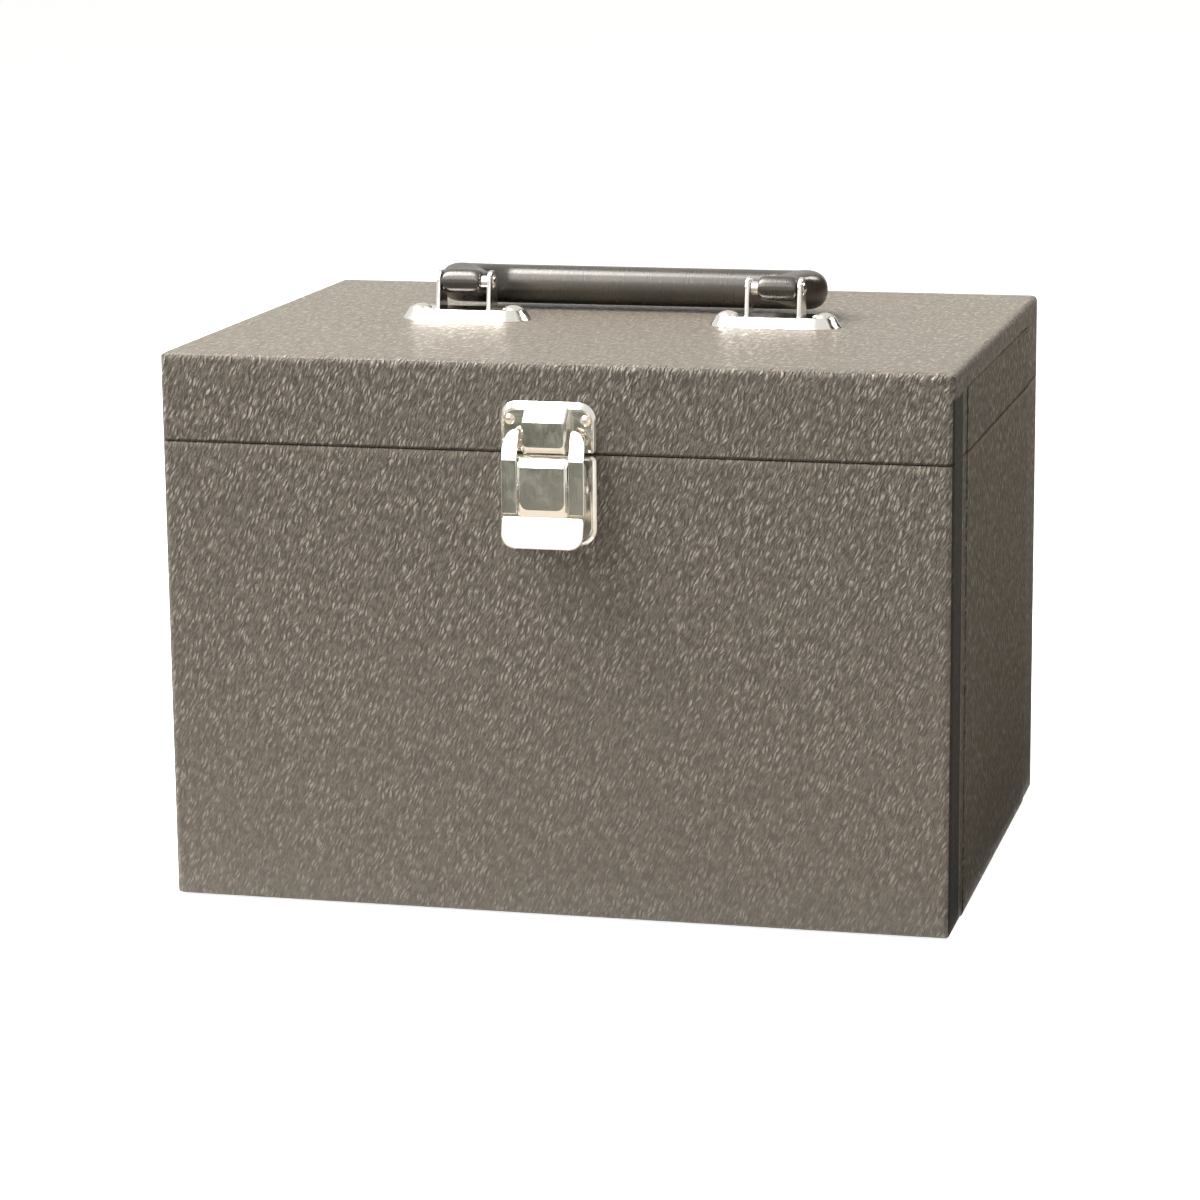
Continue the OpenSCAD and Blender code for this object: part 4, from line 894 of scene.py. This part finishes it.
def lamp(name, place, target, size, power, color):
    """A square lamp that shines on the target."""
    data = bpy.data.lights.new(name, "AREA")
    data.shape = "RECTANGLE"
    data.size = data.size_y = size
    data.energy = power
    data.color = color
    obj = placed(name, data)
    obj.location = place
    obj.rotation_mode = "QUATERNION"
    obj.rotation_quaternion = (Vector(target) - Vector(place)).to_track_quat("-Z", "Y")
    obj.visible_camera = False


def stage_face(name, points, material):
    """A flat face of the stage."""
    mesh = bpy.data.meshes.new(name)
    mesh.from_pydata([Vector(p) for p in points], [], [[0, 1, 2, 3]])
    mesh.materials.append(material)
    obj = placed(name, mesh)
    return obj


def across_x(x0, x1, first, second):
    """Corners of a card between two lines along X, each given by its y and z."""
    return [(x0, *first), (x1, *first), (x1, *second), (x0, *second)]


def seen_directly(s):
    """1 for the rays of the camera and of mirror-like surfaces, and the part of it that is the camera's."""
    path = s.node("ShaderNodeLightPath").outputs
    mirrored = s.larger(path["Is Glossy Ray"], path["Is Transmission Ray"])
    return s.larger(path["Is Camera Ray"], mirrored), path["Is Camera Ray"]


def floor():
    """Matt paper that keeps shadows, with white added where it is seen directly."""
    s = Shader("floor")
    paper = s.noise(s.mapped((2, 2, 2)))
    color = s.mix(s.step(paper, 0.3, 0.7), (0.79, 0.785, 0.775), (0.82, 0.815, 0.805))
    matt = s.node("ShaderNodeBsdfDiffuse", {"Color": color})
    seen, _ = seen_directly(s)
    white = s.node("ShaderNodeEmission", {"Color": (1, 1, 1, 1), "Strength": s.times(seen, 0.86)})
    both = s.node("ShaderNodeAddShader", {0: matt.outputs[0], 1: white.outputs[0]})
    stage_face("floor", across_x(-9, 9, (-9, 0), (9, 0)), s.surface(both))


def world():
    """Light mostly from the upper left, and plain white where the world is seen directly."""
    s = Shader("world", bpy.data.worlds)
    turn = s.node("ShaderNodeVectorMath", {0: s.coords["Generated"], 1: UPPER_LEFT}, operation="DOT_PRODUCT")
    level = s.step(turn.outputs["Value"], -0.6, 0.9, 0.02, 0.25)
    soft = s.node("ShaderNodeBackground", {"Color": (1.0, 0.97, 0.92, 1), "Strength": level})
    seen, by_camera = seen_directly(s)
    # White is 1 to the camera and 0.8 to mirror-like surfaces
    bright = s.math("MULTIPLY_ADD", by_camera, 0.2, 0.8)
    white = s.node("ShaderNodeBackground", {"Color": (1, 1, 1, 1), "Strength": bright})
    both = s.node("ShaderNodeMixShader", {0: seen, 1: soft.outputs[0], 2: white.outputs[0]})
    bpy.context.scene.world = s.surface(both, "ShaderNodeOutputWorld")


def card(name, points, color, strength=1.0, turns_to=None):
    """A card that only mirror-like surfaces see: an unlit side of the studio, its window, or a painted
    shadow on the floor.

    turns_to gives two places along X and the colour that the card turns to between them.
    """
    s = Shader(name)
    shown = (*color, 1)
    if turns_to:
        x0, x1, far_color = turns_to
        shown = s.mix(s.step(s.split(s.coords["Object"])[0], x0, x1), color, far_color)
    glow = s.node("ShaderNodeEmission", {"Color": shown, "Strength": strength})
    obj = stage_face(name, points, s.surface(glow))
    obj.visible_camera = obj.visible_diffuse = obj.visible_shadow = obj.visible_transmission = False


def studio():
    """Cards on the floor and walls, a tall window in front at the left, and three lamps."""
    # On the floor, where the hardware and the handle mirror them
    card("dark_front", across_x(-2.6, 0.5, (-3.2, 0.004), (-0.5, 0.004)), (0.13, 0.135, 0.108),
        turns_to=(-0.26, -0.2, (0.32, 0.315, 0.26)))
    card("warm_front", across_x(-1.2, 0.5, (-0.5, 0.004), (-0.13, 0.004)), (1.0, 0.9, 0.76))
    # A painted shadow of the case on the floor at its right, seen only in reflections, fading out further
    # away
    card("floor_shadow_right", across_x(0.1545, 3.0, (-0.3, 0.003), (4.0, 0.003)), (0.03, 0.027, 0.023),
        turns_to=(0.22, 0.62, (0.75, 0.68, 0.58)))
    # The window, dimmer below its sill
    sill = (-1.494, 0.85)
    card("window_low", across_x(-0.58, -0.3, (-1.79, 0.36), sill), (1.0, 0.96, 0.9), 1.6)
    card("window", across_x(-0.58, -0.3, sill, (-0.95, 1.75)), (1.0, 0.94, 0.86), 8.0)
    lamp("top", (-0.85, -0.2, 1.6), (0, 0, 0.15), 1.1, 56, (1.0, 0.97, 0.93))
    lamp("front_left", (-1.4, -1.4, 1.15), (0, -0.05, 0.12), 0.4, 9, (1.0, 0.965, 0.92))
    # The unlit wall at the right, and a small lamp for the right side's upper part
    card("wall_right", [(0.75, 0.05, 0.002), (0.75, 3.0, 0.002), (0.75, 3.0, 1.6), (0.75, 0.05, 1.6)],
        (0.05, 0.045, 0.038))
    lamp("right", (0.46, 0.34, 0.56), (0.15, 0.05, 0.14), 0.2, 1.7, (1.0, 0.93, 0.84))


camera()
floor()
world()
studio()
bpy.context.scene.view_settings.view_transform = "Standard"

bpy.context.view_layer.update()
